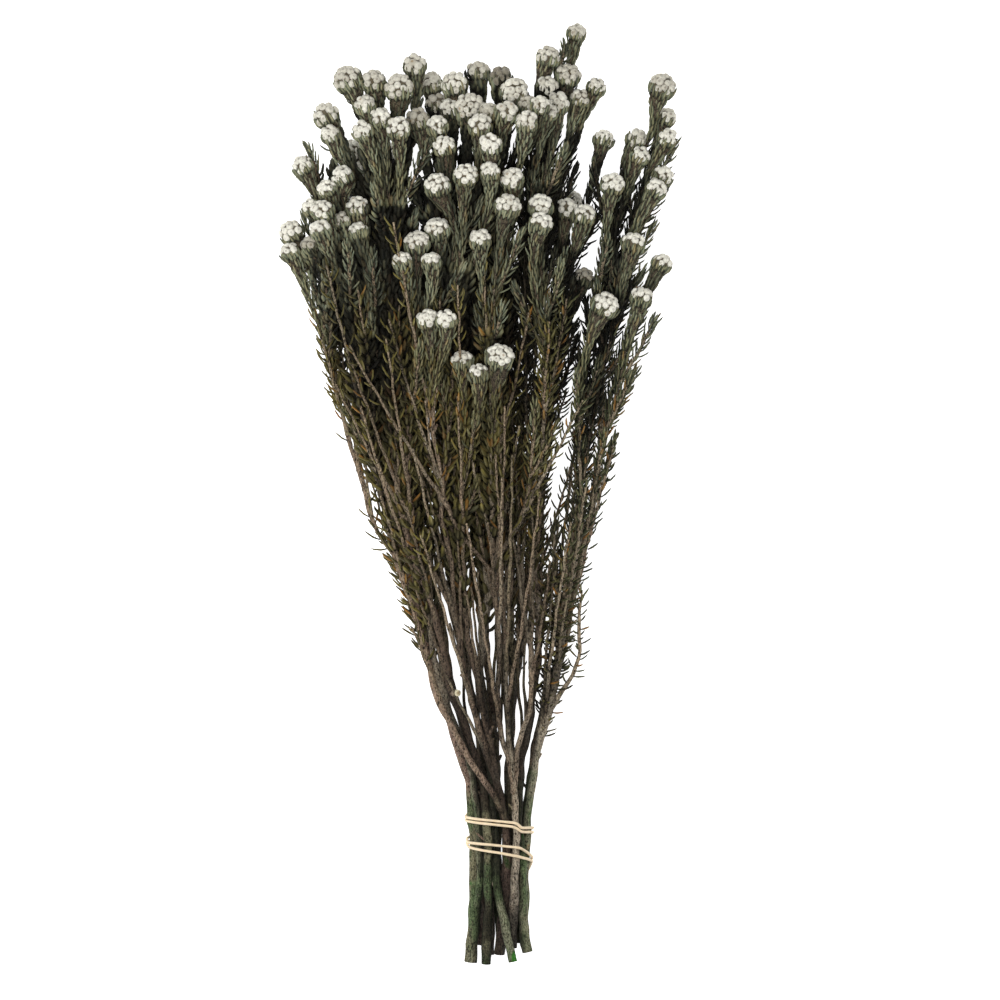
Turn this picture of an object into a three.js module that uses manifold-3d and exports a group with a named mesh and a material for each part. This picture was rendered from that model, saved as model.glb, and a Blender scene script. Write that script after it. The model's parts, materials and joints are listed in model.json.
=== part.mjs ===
// Dried phylica: a tied bunch of woody branches whose leafy shoots end in white felted heads.
// Millimetres, +Z up. The bunch lies on z = 0 along Y, cut ends towards -Y and heads towards +Y.
// The origin is under the middle of the bunch. Each branch is one solid with its forks, its leafy
// shoots and the heads at its back. The frontmost heads and the elastic tie are solids of their own.
import * as THREE from "three";
import { mergeVertices } from "three/addons/utils/BufferGeometryUtils.js";
import Module from "manifold-3d";

const wasm = await Module();
wasm.setup();

// Driving sizes
const BUNCH_LENGTH = 563;
const PHOTO_LENGTH = 938; // the bunch's length in photograph pixels
const PHOTO_MIDDLE = { across: 480, down: 495 }; // the pixel over the origin
const SCALE = BUNCH_LENGTH / PHOTO_LENGTH;

// Stems are kept apart at levels along Y.
const LEVEL = 12;
const LOWEST_LEVEL = -288;
const END_MARGIN = 4; // a line has no level nearer than this to its end
const STEM_GAP = 1.1; // clear space between the wood of two branches
const TIED = { below: -150, gap: 0.3 }; // where the tie presses the stems together
const LEAF_ROOM = 1.6; // more space round the leafy top of a shoot
const HEAD_ROOM = 2.2; // between a head's middle height and what passes it
const BEND_ROUNDS = 140;
const PARTING_LEVELS = 5; // over which two lines of one branch part at their fork
const TABLE_FLAT = 0.7; // how deep a piece that rests on the table is cut flat

// The stems are laid out with room round them, and then their wood is made slimmer by one share.
// From y = free down to y = tied they draw in by the same share, to x = middle and to the table,
// and from y = spread down to the cut ends they part again a little.
const SLIMMER = 0.82;
const DRAW_IN = { free: -95, tied: -175, middle: 16, spread: -230, ends: -285, parted: 0.1 };
const SEAT_GAP = 0.35; // between a shoot's tip and its head

const SIDE_WAY_LEAD = 14; // a side way leaves its parent this far before its first station
const GROUP_FORKS = 3; // levels between the forks of two groups on one way
const FOLLOWER = { shortest: 52, spread: 46 }; // length of a group's later shoots
const SHOOT_RADIUS = 1.6;
const THINNEST_TOP = 1.9; // radius of a main stem's top, at least
const THICKEST_SIDE = 2.7; // radius of a side way's foot, at most
const TIP_RADIUS = 3; // the shoot's core where it widens under its head
const LEAFLESS_TIP_RADIUS = 0.9;
const LEAF_ROWS = [0, 7.5, 17, 29, 45]; // mm below the head, closer near it
const LEAFLESS_FOOT = 8; // of a shoot
const LEAF_SPREAD = 3.6;
const LEAF_LIFT = 3.2;
const LEAF_HALF_WIDTH = 0.9;
const LEAF_GAP = 0.35;
const TIP_LENGTH = 75; // of a leafy shoot with no head, at least
const BARE_STEP = 48;
const WOOD_STEP = 34;
const WOOD_SIDES = 5;
const SHOOT_SIDES = 3;

const BUD_RISE = 1.3; // how far a bud stands out of its head's core
const HEAD_STAGGER = 0.55; // a lower head of a group stands this much further forward
const HEAD_GAP = 0.4;
const HEAD_ROUNDS = 120;
const HEAD_FOOT = 0.8; // of its radius, from a head's middle down to its foot
const HEAD_LEAN = { across: 0.0045, up: 0.009, level: 50, random: 0.35 };
const FREE_HEADS = 45; // the heads that are nodes of their own, as many as 60 nodes allow

const BAND_RADIUS = 0.85;
const BAND_GAP = 0.5;
const BAND_STEPS = 18; // sections a turn
const BAND_LINE = [
  [-0.1, 811, 816], [0, 817, 820.5], [0.25, 823, 826.7], [0.4, 828, 832], [0.5, 827.5, 832],
  [0.75, 832.5, 836.5], [1, 838, 842], [1.08, 842.5, 847], [1.25, 845.5, 854], [1.37, 848, 857],
  [1.5, 857, 861], [1.6, 866, 871],
];

const COLOURS = { branch: "#5b5644", heads: "#d8d6c8", tie: "#e6d3ae" };

// The plan. A way is a woody stretch given by stations [across, down, height]: two photograph
// pixels, and mm above the table. The first way starts at the cut end, and each later one grows
// from the way numbered by "on". A group is a spray of heads, [across, down, width] in pixels,
// round a height in mm, carried by the way numbered by "way". A tip is a leafy shoot with no head.
const BRANCHES = [
  {
    thick: 4.4,
    ways: [
      { at: [[496, 954, 9], [499, 928, 14], [502, 900, 23], [504, 868, 29], [504, 840, 31], [500, 815, 32],
        [496, 797, 33]] },
      { on: 0, at: [[489, 772, 35], [480, 750, 37], [472, 715, 41], [465, 680, 45], [459, 640, 50],
        [453, 608, 54]] },
      { on: 1, at: [[433, 570, 58], [418, 541, 63], [411, 506, 68], [408, 464, 73], [411, 420, 79]] },
      { on: 1, at: [[452, 575, 58], [446, 540, 62], [440, 510, 66], [443, 475, 71], [446, 445, 76]] },
      { on: 0, at: [[493, 775, 34], [486, 745, 36], [480, 710, 39], [474, 670, 43], [468, 640, 46],
        [464, 610, 50], [462, 570, 54], [458, 530, 58]] },
      { on: 0, at: [[482, 785, 41], [470, 773, 44], [452, 742, 43], [434, 702, 41], [431, 685, 40],
        [425, 650, 41], [414, 612, 44], [403, 580, 47], [391, 547, 50]] },
      { on: 5, at: [[375, 528, 50], [367, 499, 51], [359, 471, 52], [350, 443, 54], [340, 405, 57]] },
      { on: 5, at: [[385, 515, 53], [378, 485, 56], [370, 455, 60]] },
    ],
    groups: [
      { way: 2, height: 104, heads: [[417, 241, 27], [437, 228, 26], [402, 260, 20], [431, 260, 20]] },
      { way: 2, height: 108, heads: [[437, 184, 26]] },
      { way: 3, height: 114, heads: [[466, 174, 25], [490, 170, 20]] },
      { way: 4, height: 98, heads: [[417, 118, 25], [437, 125, 22], [444, 145, 23]] },
      { way: 4, height: 98, heads: [[462, 359, 22], [478, 372, 22]] },
      { way: 6, height: 84, heads: [[291, 231, 26], [289, 251, 20], [311, 246, 25]] },
      { way: 7, height: 92, heads: [[322, 210, 23], [326, 188, 20], [342, 175, 22], [310, 206, 18],
        [320, 229, 22]] },
    ],
    tips: [{ way: 6, at: [306, 146, 66] }],
  },
  {
    thick: 4.6,
    ways: [
      { at: [[468, 962, 10], [470, 930, 13], [469, 900, 15], [469, 860, 17], [469, 840, 18], [465, 800, 19],
        [462, 780, 20], [450, 740, 22], [440, 700, 24], [432, 660, 28], [425, 625, 33], [415, 590, 38],
        [405, 555, 43]] },
      { on: 0, at: [[474, 900, 21], [475, 870, 25], [476, 840, 27], [471, 800, 28], [467, 770, 29],
        [456, 735, 31], [446, 700, 34], [438, 660, 38], [432, 625, 43], [424, 590, 48], [416, 560, 53]] },
    ],
    groups: [
      { way: 0, height: 84, heads: [[357, 206, 24], [340, 220, 20], [358, 230, 20]] },
      { way: 0, height: 78, heads: [[325, 114, 27], [330, 133, 20]] },
      { way: 1, height: 92, heads: [[347, 78, 30], [373, 80, 24], [365, 104, 22]] },
    ],
  },
  {
    thick: 3.4,
    ways: [
      { at: [[487, 964, 14], [488, 920, 20], [487, 880, 26], [485, 840, 31], [480, 800, 29], [474, 775, 28],
        [463, 740, 30], [450, 700, 34], [442, 660, 40], [436, 625, 47], [425, 590, 53], [408, 545, 60],
        [398, 500, 67]] },
    ],
    groups: [
      { way: 0, height: 102, heads: [[380, 117, 22], [398, 127, 24], [362, 130, 22]] },
      { way: 0, height: 88, heads: [[399, 86, 30], [414, 64, 24]] },
    ],
  },
  {
    thick: 3.4,
    ways: [
      { at: [[515, 962, 24], [508, 930, 24], [500, 905, 25], [495, 880, 24], [492, 840, 24], [489, 800, 24],
        [486, 760, 26], [482, 720, 28], [480, 680, 30], [483, 640, 35], [487, 600, 40], [484, 560, 46]] },
    ],
    groups: [
      { way: 0, height: 94, heads: [[470, 106, 31], [480, 124, 25], [489, 111, 20], [490, 143, 24]] },
      { way: 0, height: 82, heads: [[431, 82, 24], [437, 103, 24], [450, 108, 22], [454, 83, 28]] },
    ],
  },
  {
    thick: 3.6,
    ways: [
      { at: [[513, 946, 16], [514, 920, 20], [517, 890, 26], [517, 860, 30], [519, 840, 31], [517, 810, 33],
        [514, 775, 35]] },
      { on: 0, at: [[507, 752, 37], [500, 730, 38], [498, 700, 41], [500, 660, 45], [499, 620, 50],
        [497, 590, 54], [494, 565, 57]] },
      { on: 1, at: [[478, 553, 60], [462, 535, 63], [452, 513, 66], [445, 495, 69], [441, 465, 72],
        [434, 430, 77], [430, 395, 82]] },
      { on: 1, at: [[493, 540, 60], [492, 518, 63], [492, 490, 66], [494, 450, 72]] },
      { on: 0, at: [[511, 748, 37], [507, 725, 38], [506, 700, 40], [505, 660, 44], [503, 620, 48],
        [505, 585, 50], [506, 550, 53]] },
      { on: 0, at: [[520, 744, 38], [528, 725, 39], [532, 695, 41], [531, 655, 44], [524, 610, 47],
        [519, 575, 50], [519, 540, 54]] },
      { on: 1, at: [[505, 548, 62], [519, 525, 65], [533, 492, 69], [541, 464, 72], [544, 422, 77],
        [544, 380, 83]] },
    ],
    groups: [
      { way: 2, height: 108, heads: [[427, 318, 22], [446, 318, 22]] },
      { way: 3, height: 110, heads: [[500, 356, 30]] },
      { way: 3, height: 110, heads: [[508, 205, 27], [512, 178, 24]] },
      { way: 4, height: 108, heads: [[480, 238, 23]] },
      { way: 5, height: 100, heads: [[515, 91, 31], [507, 111, 24], [527, 120, 23], [528, 104, 20],
        [540, 104, 20]] },
      { way: 6, height: 106, heads: [[541, 205, 26], [541, 222, 24]] },
    ],
    tips: [{ way: 6, at: [536, 404, 84] }],
  },
  {
    thick: 3.6,
    ways: [
      { at: [[528, 952, 16], [523, 925, 18], [524, 890, 20], [524, 860, 23], [521, 835, 25], [520, 800, 26],
        [523, 770, 27], [528, 740, 28], [533, 710, 30], [537, 670, 34], [540, 630, 38], [538, 590, 42],
        [536, 550, 47]] },
    ],
    groups: [
      { way: 0, height: 86, heads: [[548, 56, 25], [568, 74, 26], [548, 85, 22], [558, 102, 24],
        [548, 111, 20]] },
      { way: 0, height: 78, heads: [[567, 208, 24], [585, 214, 24]] },
    ],
    tips: [{ way: 0, at: [564, 43, 80] }],
  },
  {
    thick: 3.2,
    ways: [
      { at: [[524, 937, 10], [527, 900, 13], [529, 860, 16], [530, 840, 18], [533, 810, 20], [538, 780, 22],
        [544, 745, 25], [550, 715, 28], [556, 680, 32], [560, 640, 36], [563, 605, 40], [572, 570, 45],
        [580, 530, 50]] },
      { on: 0, at: [[558, 700, 30], [570, 684, 32], [576, 665, 34]] },
    ],
    groups: [
      { way: 0, height: 98, heads: [[606, 304, 28]] },
      { way: 0, height: 92, heads: [[634, 242, 24]] },
      { way: 0, height: 90, heads: [[613, 183, 24]] },
      { way: 0, height: 87, heads: [[642, 296, 23]] },
    ],
    tips: [{ way: 1, at: [582, 590, 44] }, { way: 0, at: [556, 520, 58] }],
  },
  {
    thick: 3,
    ways: [
      { at: [[519, 943, 5], [523, 900, 7], [526, 840, 11], [531, 800, 14], [536, 765, 16], [543, 730, 19],
        [549, 700, 22], [556, 660, 26], [566, 615, 31], [580, 560, 37], [592, 510, 43]] },
    ],
    groups: [
      { way: 0, height: 68, heads: [[637, 138, 22], [641, 155, 20]] },
      { way: 0, height: 70, heads: [[663, 262, 21]] },
      { way: 0, height: 74, heads: [[664, 175, 22], [657, 188, 22]] },
      { way: 0, height: 70, heads: [[668, 137, 20], [667, 116, 20]] },
      { way: 0, height: 80, heads: [[663, 85, 28]] },
    ],
  },
  {
    thick: 3.2,
    ways: [
      { at: [[477, 945, 6], [479, 900, 9], [480, 840, 15], [474, 800, 16], [466, 760, 18], [456, 720, 20],
        [447, 680, 22], [438, 640, 26], [428, 600, 30], [417, 560, 34]] },
    ],
    groups: [
      { way: 0, height: 70, heads: [[302, 165, 22]] },
      { way: 0, height: 44, heads: [[372, 150, 24], [352, 150, 24], [362, 170, 24]] },
    ],
  },
  {
    thick: 3.2,
    ways: [
      { at: [[507, 948, 3.4], [501, 900, 8], [498, 840, 14], [496, 790, 15], [493, 740, 16], [490, 690, 18],
        [487, 640, 20], [483, 590, 23], [478, 540, 27]] },
    ],
    groups: [
      { way: 0, height: 58, heads: [[478, 71, 24], [501, 76, 24]] },
      { way: 0, height: 50, heads: [[470, 280, 22], [478, 292, 22], [495, 285, 22]] },
    ],
  },
  {
    thick: 3.2,
    ways: [
      { at: [[510, 948, 8], [511, 900, 12], [513, 840, 18], [511, 790, 19], [511, 740, 20], [512, 690, 22],
        [512, 640, 25], [511, 590, 29], [510, 540, 34]] },
    ],
    groups: [
      { way: 0, height: 72, heads: [[577, 32, 20]] },
      { way: 0, height: 76, heads: [[580, 97, 20], [597, 86, 20]] },
      { way: 0, height: 50, heads: [[545, 155, 22]] },
    ],
  },
  {
    thick: 3.2,
    ways: [
      { at: [[489, 955, 3], [488, 900, 4], [487, 840, 6], [482, 790, 7], [476, 740, 8], [470, 690, 10],
        [464, 640, 12], [457, 590, 15], [450, 540, 19]] },
    ],
    groups: [
      { way: 0, height: 6, heads: [[440, 180, 24], [422, 190, 24]] },
      { way: 0, height: 24, heads: [[452, 225, 24], [474, 222, 24]] },
    ],
  },
  {
    thick: 3.2,
    ways: [
      { at: [[508, 942, 3], [507, 900, 4], [505, 840, 6], [507, 790, 7], [510, 740, 8], [514, 690, 10],
        [519, 640, 12], [524, 590, 15], [530, 540, 19]] },
    ],
    groups: [
      { way: 0, height: 60, heads: [[584, 277, 23]] },
      { way: 0, height: 54, heads: [[604, 138, 21]] },
      { way: 0, height: 6, heads: [[552, 190, 24], [572, 200, 24]] },
    ],
  },
  {
    thick: 3,
    ways: [
      { at: [[474, 940, 3], [473, 900, 5], [472, 840, 9], [467, 800, 10], [458, 760, 11], [447, 720, 12],
        [436, 680, 14], [424, 640, 16], [412, 600, 19], [402, 560, 23]] },
    ],
    groups: [
      { way: 0, height: 22, heads: [[362, 230, 24], [380, 240, 24]] },
      { way: 0, height: 6, heads: [[400, 150, 24], [386, 162, 24]] },
    ],
  },
];

const clamp = (v, low, high) => Math.min(high, Math.max(low, v));

const fromPhoto = ([across, down, height]) => [
  (across - PHOTO_MIDDLE.across) * SCALE,
  (PHOTO_MIDDLE.down - down) * SCALE,
  height,
];

// A repeatable random number from 0 to 1 for a whole number.
function draw(seed) {
  const s = Math.sin((seed + 1) * 12.9898) * 43758.5453;
  return s - Math.floor(s);
}

// A smooth curve through stations [x, y, z] sorted by y: its x and z at a given y.
function curveAt(stations, y) {
  const last = stations.length - 1;
  let i = 0;
  while (i < last - 1 && stations[i + 1][1] < y) i++;
  const slope = (j, c) => {
    const a = stations[Math.max(j - 1, 0)];
    const b = stations[Math.min(j + 1, last)];
    return (b[c] - a[c]) / (b[1] - a[1]);
  };
  const [a, b] = [stations[i], stations[i + 1]];
  const run = b[1] - a[1];
  return hermite((y - a[1]) / run, a, b, (c) => slope(i, c) * run, (c) => slope(i + 1, c) * run);
}

// The x and z at share t of a cubic from a to b with the given end slopes.
function hermite(t, a, b, startSlope, endSlope) {
  const at = (c) =>
    a[c] * (1 + 2 * t) * (1 - t) ** 2 +
    startSlope(c) * t * (1 - t) ** 2 +
    b[c] * t * t * (3 - 2 * t) -
    endSlope(c) * t * t * (1 - t);
  return [at(0), at(2)];
}

const levelY = (k) => LOWEST_LEVEL + k * LEVEL;

// A route is a stem's or shoot's centre line: points [x, y, z], one at each level in between.
class Route {
  constructor(branch, parent, fork, radius) {
    Object.assign(this, { branch, parent, fork, radius });
    this.points = [];
    this.levels = [];
    this.shift = [];
  }

  add(x, y, z, level = -1) {
    this.points.push([x, y, z]);
    this.levels.push(level);
    this.shift.push([0, 0]);
  }

  // Points from y = low to y = high whose x and z come from the function at.
  fill(low, high, at) {
    const lowest = Math.ceil((low + END_MARGIN - LOWEST_LEVEL) / LEVEL);
    const first = this.fork < 0 ? lowest : this.fork + 1;
    const [x0, z0] = at(low);
    this.add(x0, low, z0, this.fork);
    for (let k = first; levelY(k) < high - END_MARGIN; k++) {
      const [x, z] = at(levelY(k));
      this.add(x, levelY(k), z, k);
    }
    const [x1, z1] = at(high);
    this.add(x1, high, z1);
    return this;
  }

  get low() {
    return this.points[0][1];
  }

  get high() {
    return this.points[this.points.length - 1][1];
  }

  at(y) {
    const [x, z] = curveAt(this.points, clamp(y, this.low, this.high));
    return new THREE.Vector3(x, y, z);
  }

  slopeAt(y) {
    const step = END_MARGIN;
    const after = this.at(clamp(y + step, this.low + step, this.high));
    const d = after.sub(this.at(clamp(y - step, this.low, this.high - step)));
    return [d.x / d.y, 1, d.z / d.y];
  }

  radiusAt(y) {
    const t = clamp((y - this.low) / (this.high - this.low), 0, 1);
    return this.radius[0] + (this.radius[1] - this.radius[0]) * t;
  }

  indexOf(level) {
    return this.levels.indexOf(level);
  }
}

// The heads' places and directions. Heads that would run into one another part in height, and the
// one in front stays in front. The frontmost become nodes of their own.
function placeHeads() {
  const heads = [];
  for (const [branch, { groups }] of BRANCHES.entries())
    for (const group of groups) {
      const middle = group.heads.reduce((sum, head) => sum + head[1], 0) / group.heads.length;
      for (const [across, down, width] of group.heads) {
        const height = group.height + HEAD_STAGGER * (down - middle) * SCALE;
        const centre = new THREE.Vector3(...fromPhoto([across, down, height]));
        heads.push({ branch, group, centre, radius: (width * SCALE) / 2 });
      }
    }
  for (let round = 0; round < HEAD_ROUNDS; round++) {
    const push = heads.map(() => 0);
    for (const [i, a] of heads.entries())
      for (const [j, b] of heads.entries()) {
        const need = a.radius + b.radius + HEAD_GAP;
        const flat = Math.hypot(a.centre.x - b.centre.x, a.centre.y - b.centre.y);
        if (i === j || flat >= need) continue;
        const rise = a.centre.z - b.centre.z;
        const lack = Math.sqrt(need * need - flat * flat) - Math.abs(rise);
        if (lack > 0) push[i] += 0.2 * lack * (rise > 0 || (rise === 0 && i > j) ? 1 : -1);
      }
    for (const [i, { centre, radius }] of heads.entries())
      centre.z = Math.max(centre.z + push[i], radius - TABLE_FLAT);
  }
  for (const [h, head] of heads.entries()) {
    const { x, z } = head.centre;
    head.axis = new THREE.Vector3(
      HEAD_LEAN.across * x + HEAD_LEAN.random * (draw(7 * h) - 0.5),
      1,
      HEAD_LEAN.up * (z - HEAD_LEAN.level) + HEAD_LEAN.random * (draw(7 * h + 3) - 0.5),
    ).normalize();
    head.foot = head.centre.clone().addScaledVector(head.axis, -HEAD_FOOT * head.radius);
  }
  const frontFirst = [...heads].sort((a, b) => b.centre.z - a.centre.z);
  for (const head of frontFirst.slice(0, FREE_HEADS)) head.free = true;
  return heads;
}

// All centre lines: the ways of the plan, then the shoots that lead from them to the heads.
function layOutRoutes(heads) {
  const routes = [];
  for (const [b, branch] of BRANCHES.entries()) {
    const ways = [];
    for (const { on, at } of branch.ways) {
      const stations = at.map(fromPhoto);
      const high = stations[stations.length - 1][1];
      let route;
      if (on === undefined) {
        const top = Math.max(0.62 * branch.thick, THINNEST_TOP);
        route = new Route(b, null, -1, [branch.thick, top]);
        route.fill(stations[0][1], high, (y) => curveAt(stations, y));
      } else {
        const parent = ways[on];
        const wanted = Math.round((stations[0][1] - SIDE_WAY_LEAD - LOWEST_LEVEL) / LEVEL);
        const fork = clamp(wanted, parent.levels[1] + 1, Math.max(...parent.levels));
        const thick = Math.min(0.82 * parent.radiusAt(levelY(fork)), THICKEST_SIDE);
        route = new Route(b, parent, fork, [thick, Math.max(0.75 * thick, SHOOT_RADIUS)]);
        const root = parent.points[parent.indexOf(fork)];
        const whole = [root, ...stations];
        route.fill(root[1], high, (y) => curveAt(whole, y));
      }
      ways.push(route);
      routes.push(route);
    }
    const carried = ways.map(() => 0);
    for (const group of branch.groups) {
      const way = ways[group.way];
      const leaderFork = way.indexOf(Math.max(...way.levels)) - GROUP_FORKS * carried[group.way]++;
      let leader = null;
      for (const [h, head] of heads.filter((one) => one.group === group).entries()) {
        const seed = 53 * routes.length + h;
        const long = FOLLOWER.shortest + FOLLOWER.spread * draw(seed);
        const wanted = Math.floor((head.foot.y - long - LOWEST_LEVEL) / LEVEL);
        const onLeader = leader && wanted > leader.fork + 1 && leader.indexOf(wanted) > 0;
        const parent = onLeader ? leader : way;
        const fork = onLeader ? wanted : way.levels[Math.max(leaderFork, 2)];
        head.route = shootTo(routes, parent, fork, head);
        head.route.head = head;
        leader = leader || head.route;
      }
    }
    for (const { way, at } of branch.tips || []) {
      const [x, y, z] = fromPhoto(at);
      const axis = new THREE.Vector3(0.004 * x, 1, 0.004 * (z - 50)).normalize();
      const parent = ways[way];
      const wanted = Math.floor((y - TIP_LENGTH - LOWEST_LEVEL) / LEVEL);
      const fork = clamp(wanted, parent.levels[1] + 1, Math.max(...parent.levels));
      shootTo(routes, parent, fork, { foot: new THREE.Vector3(x, y, z), axis });
    }
  }
  return routes;
}

// A shoot that leaves its parent along it and arrives at its foot along the foot's axis.
function shootTo(routes, parent, fork, { foot, axis }) {
  const thick = Math.min(0.85 * parent.radiusAt(levelY(fork)), 1.25 * SHOOT_RADIUS);
  const route = new Route(parent.branch, parent, fork, [thick, SHOOT_RADIUS]);
  const root = parent.points[parent.indexOf(fork)];
  const run = foot.y - root[1];
  const lean = parent.slopeAt(root[1]);
  const tilt = [axis.x / axis.y, 1, axis.z / axis.y];
  const end = [foot.x, foot.y, foot.z];
  route.fill(root[1], foot.y, (y) =>
    hermite((y - root[1]) / run, root, end, (c) => lean[c] * run, (c) => tilt[c] * run));
  route.leafy = true;
  routes.push(route);
  return route;
}

// How far up two routes of one branch part from one another.
function partingLevel(a, b) {
  const upFrom = (route) => {
    const line = new Map();
    let top = Infinity;
    for (let r = route; r; r = r.parent) {
      line.set(r, top);
      top = r.fork;
    }
    return line;
  };
  const [left, right] = [upFrom(a), upFrom(b)];
  for (const [route, top] of left) if (right.has(route)) return Math.min(top, right.get(route));
  return -Infinity;
}

// Stems that would run through one another, or through a head, are bent apart level by level.
function bendClear(routes, heads) {
  const top = Math.ceil((BUNCH_LENGTH / 2 - LOWEST_LEVEL) / LEVEL) + 1;
  const softness = (route, y) => {
    const leaves = route.leafy ? LEAF_ROOM * clamp((y - (route.high - 90)) / 40, 0, 1) : 0;
    const gap = y < TIED.below ? TIED.gap : STEM_GAP;
    return 1.1 * route.radiusAt(y) + gap / 2 + leaves;
  };
  const parting = routes.map((a) =>
    routes.map((b) => (a.branch === b.branch ? partingLevel(a, b) : -Infinity)));
  const levels = [];
  for (let k = 0; k <= top; k++) {
    const here = [];
    for (const [n, route] of routes.entries()) {
      const i = route.indexOf(k);
      if (i > 0 || (i === 0 && !route.parent)) here.push({ n, route, i, soft: softness(route, levelY(k)) });
    }
    const discs = heads.filter((head) => Math.abs(levelY(k) - head.centre.y) < head.radius + 2);
    levels.push({ y: levelY(k), k, here, discs });
  }
  for (let round = 0; round < BEND_ROUNDS; round++) {
    for (const { y, k, here, discs } of levels) {
      const place = here.map(({ route, i }) => [
        route.points[i][0] + route.shift[i][0],
        route.points[i][2] + route.shift[i][1],
      ]);
      const push = here.map(() => [0, 0]);
      for (let a = 0; a < here.length; a++) {
        for (let b = 0; b < here.length; b++) {
          if (a === b) continue;
          const share = clamp((k - parting[here[a].n][here[b].n]) / PARTING_LEVELS, 0, 1);
          const need = (here[a].soft + here[b].soft) * share;
          const [dx, dz] = [place[a][0] - place[b][0], place[a][1] - place[b][1]];
          const far = Math.hypot(dx, dz);
          if (far >= need) continue;
          const side = dz || (here[a].n > here[b].n ? 0.2 : -0.2);
          const long = Math.hypot(0.5 * dx, side);
          push[a][0] += (0.3 * (need - far) * 0.5 * dx) / long;
          push[a][1] += (0.3 * (need - far) * side) / long;
        }
        for (const head of discs) {
          if (here[a].route.head === head) continue;
          const reach = head.radius + HEAD_ROOM;
          const rim = Math.sqrt(Math.max(reach * reach - (y - head.centre.y) ** 2, 0));
          const need = rim + here[a].soft;
          const [dx, dz] = [place[a][0] - head.centre.x, place[a][1] - head.centre.z];
          const far = Math.hypot(dx, dz);
          if (far >= need) continue;
          const side = Math.abs(dz) < 3 ? dz - 3 : dz;
          const long = Math.hypot(0.6 * dx, side);
          push[a][0] += (0.5 * (need - far) * 0.6 * dx) / long;
          push[a][1] += (0.5 * (need - far) * side) / long;
        }
      }
      here.forEach(({ route, i, soft }, a) => {
        const move = route.shift[i];
        move[0] += clamp(push[a][0], -2, 2);
        move[1] += clamp(push[a][1], -2, 2);
        move[1] = Math.max(move[1], soft - 0.6 - TABLE_FLAT - route.points[i][2]);
      });
    }
    for (const route of routes) smoothShift(route);
  }
  for (const route of routes)
    route.points.forEach((point, i) => {
      point[0] += route.shift[i][0];
      point[2] += route.shift[i][1];
    });
}

// A route's bends are evened along it. It stays on its parent and on its head.
function smoothShift(route) {
  const { shift, parent, fork } = route;
  const last = shift.length - 1;
  const old = shift.map((s) => [...s]);
  for (let i = 1; i < last; i++)
    for (const c of [0, 1]) shift[i][c] += 0.3 * ((old[i - 1][c] + old[i + 1][c]) / 2 - old[i][c]);
  if (parent) shift[0] = [...parent.shift[parent.indexOf(fork)]];
  else shift[0] = [...shift[1]];
  if (!route.leafy) shift[last] = [...shift[last - 1]];
}

// The stems slim down and draw in towards the tie.
function drawIn(routes) {
  const { free, tied, middle, spread, ends, parted } = DRAW_IN;
  for (const route of routes) {
    route.radius = route.radius.map((radius) => SLIMMER * radius);
    for (const point of route.points) {
      const t = clamp((free - point[1]) / (free - tied), 0, 1);
      const share = 1 - (1 - SLIMMER) * t * t * (3 - 2 * t);
      const apart = parted * clamp((spread - point[1]) / (spread - ends), 0, 1);
      point[0] = middle + (point[0] - middle) * (share + apart);
      point[2] *= share;
    }
  }
}

// An indexed closed surface under construction.
class Shell {
  constructor() {
    this.vertices = [];
    this.faces = [];
  }

  vertex(v) {
    return this.vertices.push(v.x, v.y, v.z) / 3 - 1;
  }

  face(a, b, c) {
    this.faces.push(a, b, c);
  }

  // A triangle raised to a point.
  peak(a, b, c, tip) {
    const t = this.vertex(tip);
    this.face(a, b, t);
    this.face(b, c, t);
    this.face(c, a, t);
  }

  point(i) {
    return new THREE.Vector3(...this.vertices.slice(3 * i, 3 * i + 3));
  }

  solid() {
    const made = new wasm.Manifold(
      new wasm.Mesh({
        numProp: 3,
        vertProperties: new Float32Array(this.vertices),
        triVerts: new Uint32Array(this.faces),
      }),
    );
    return made;
  }
}

// Rings of points round a centre line. Each ring is turned half a step from the one before, so the
// surface between two rings is made of triangles that point up and triangles that point down. A
// closed line comes with the direction in which its rings start.
function ringsAlong(centres, radii, sides, sideways = null) {
  return centres.map((centre, i) => {
    const n = centres.length;
    const before = centres[sideways ? (i + n - 1) % n : Math.max(i - 1, 0)];
    const after = centres[sideways ? (i + 1) % n : Math.min(i + 1, n - 1)];
    const along = after.clone().sub(before).normalize();
    const across = sideways ? sideways[i].clone() : new THREE.Vector3(1, 0, 0);
    across.addScaledVector(along, -across.dot(along)).normalize();
    const up = along.clone().cross(across);
    const ring = [];
    for (let j = 0; j < sides; j++) {
      const angle = ((j + (i % 2) / 2) * 2 * Math.PI) / sides;
      ring.push(
        centre.clone()
          .addScaledVector(across, radii[i] * Math.cos(angle))
          .addScaledVector(up, radii[i] * Math.sin(angle)),
      );
    }
    return { ring, along, centre };
  });
}

// The wall over such rings. leafTip may give the point to which a downward triangle is raised.
function addWall(shell, rings, leafTip = () => null, closed = false) {
  const sides = rings[0].ring.length;
  const ids = rings.map(({ ring }) => ring.map((v) => shell.vertex(v)));
  if (closed) ids.push(ids[0]);
  for (let i = 0; i + 1 < ids.length; i++)
    for (let j = 0; j < sides; j++) {
      const next = (j + 1) % sides;
      const even = i % 2 === 0;
      const [low, high] = [ids[i], ids[i + 1]];
      shell.face(low[j], low[next], even ? high[j] : high[next]);
      const foot = even ? low[next] : low[j];
      const tip = leafTip(i, foot, high[next], high[j]);
      if (tip) shell.peak(foot, high[next], high[j], tip);
      else shell.face(foot, high[next], high[j]);
    }
  return ids;
}

// A flat end over a ring, facing forwards or back along the tube.
function addEnd(shell, ring, forwards) {
  for (let j = 1; j + 1 < ring.length; j++)
    if (forwards) shell.face(ring[0], ring[j], ring[j + 1]);
    else shell.face(ring[0], ring[j + 1], ring[j]);
}

// Leaves stay clear of what belongs to other pieces: straight capsules, each with its owner.
const capsules = [];

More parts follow.
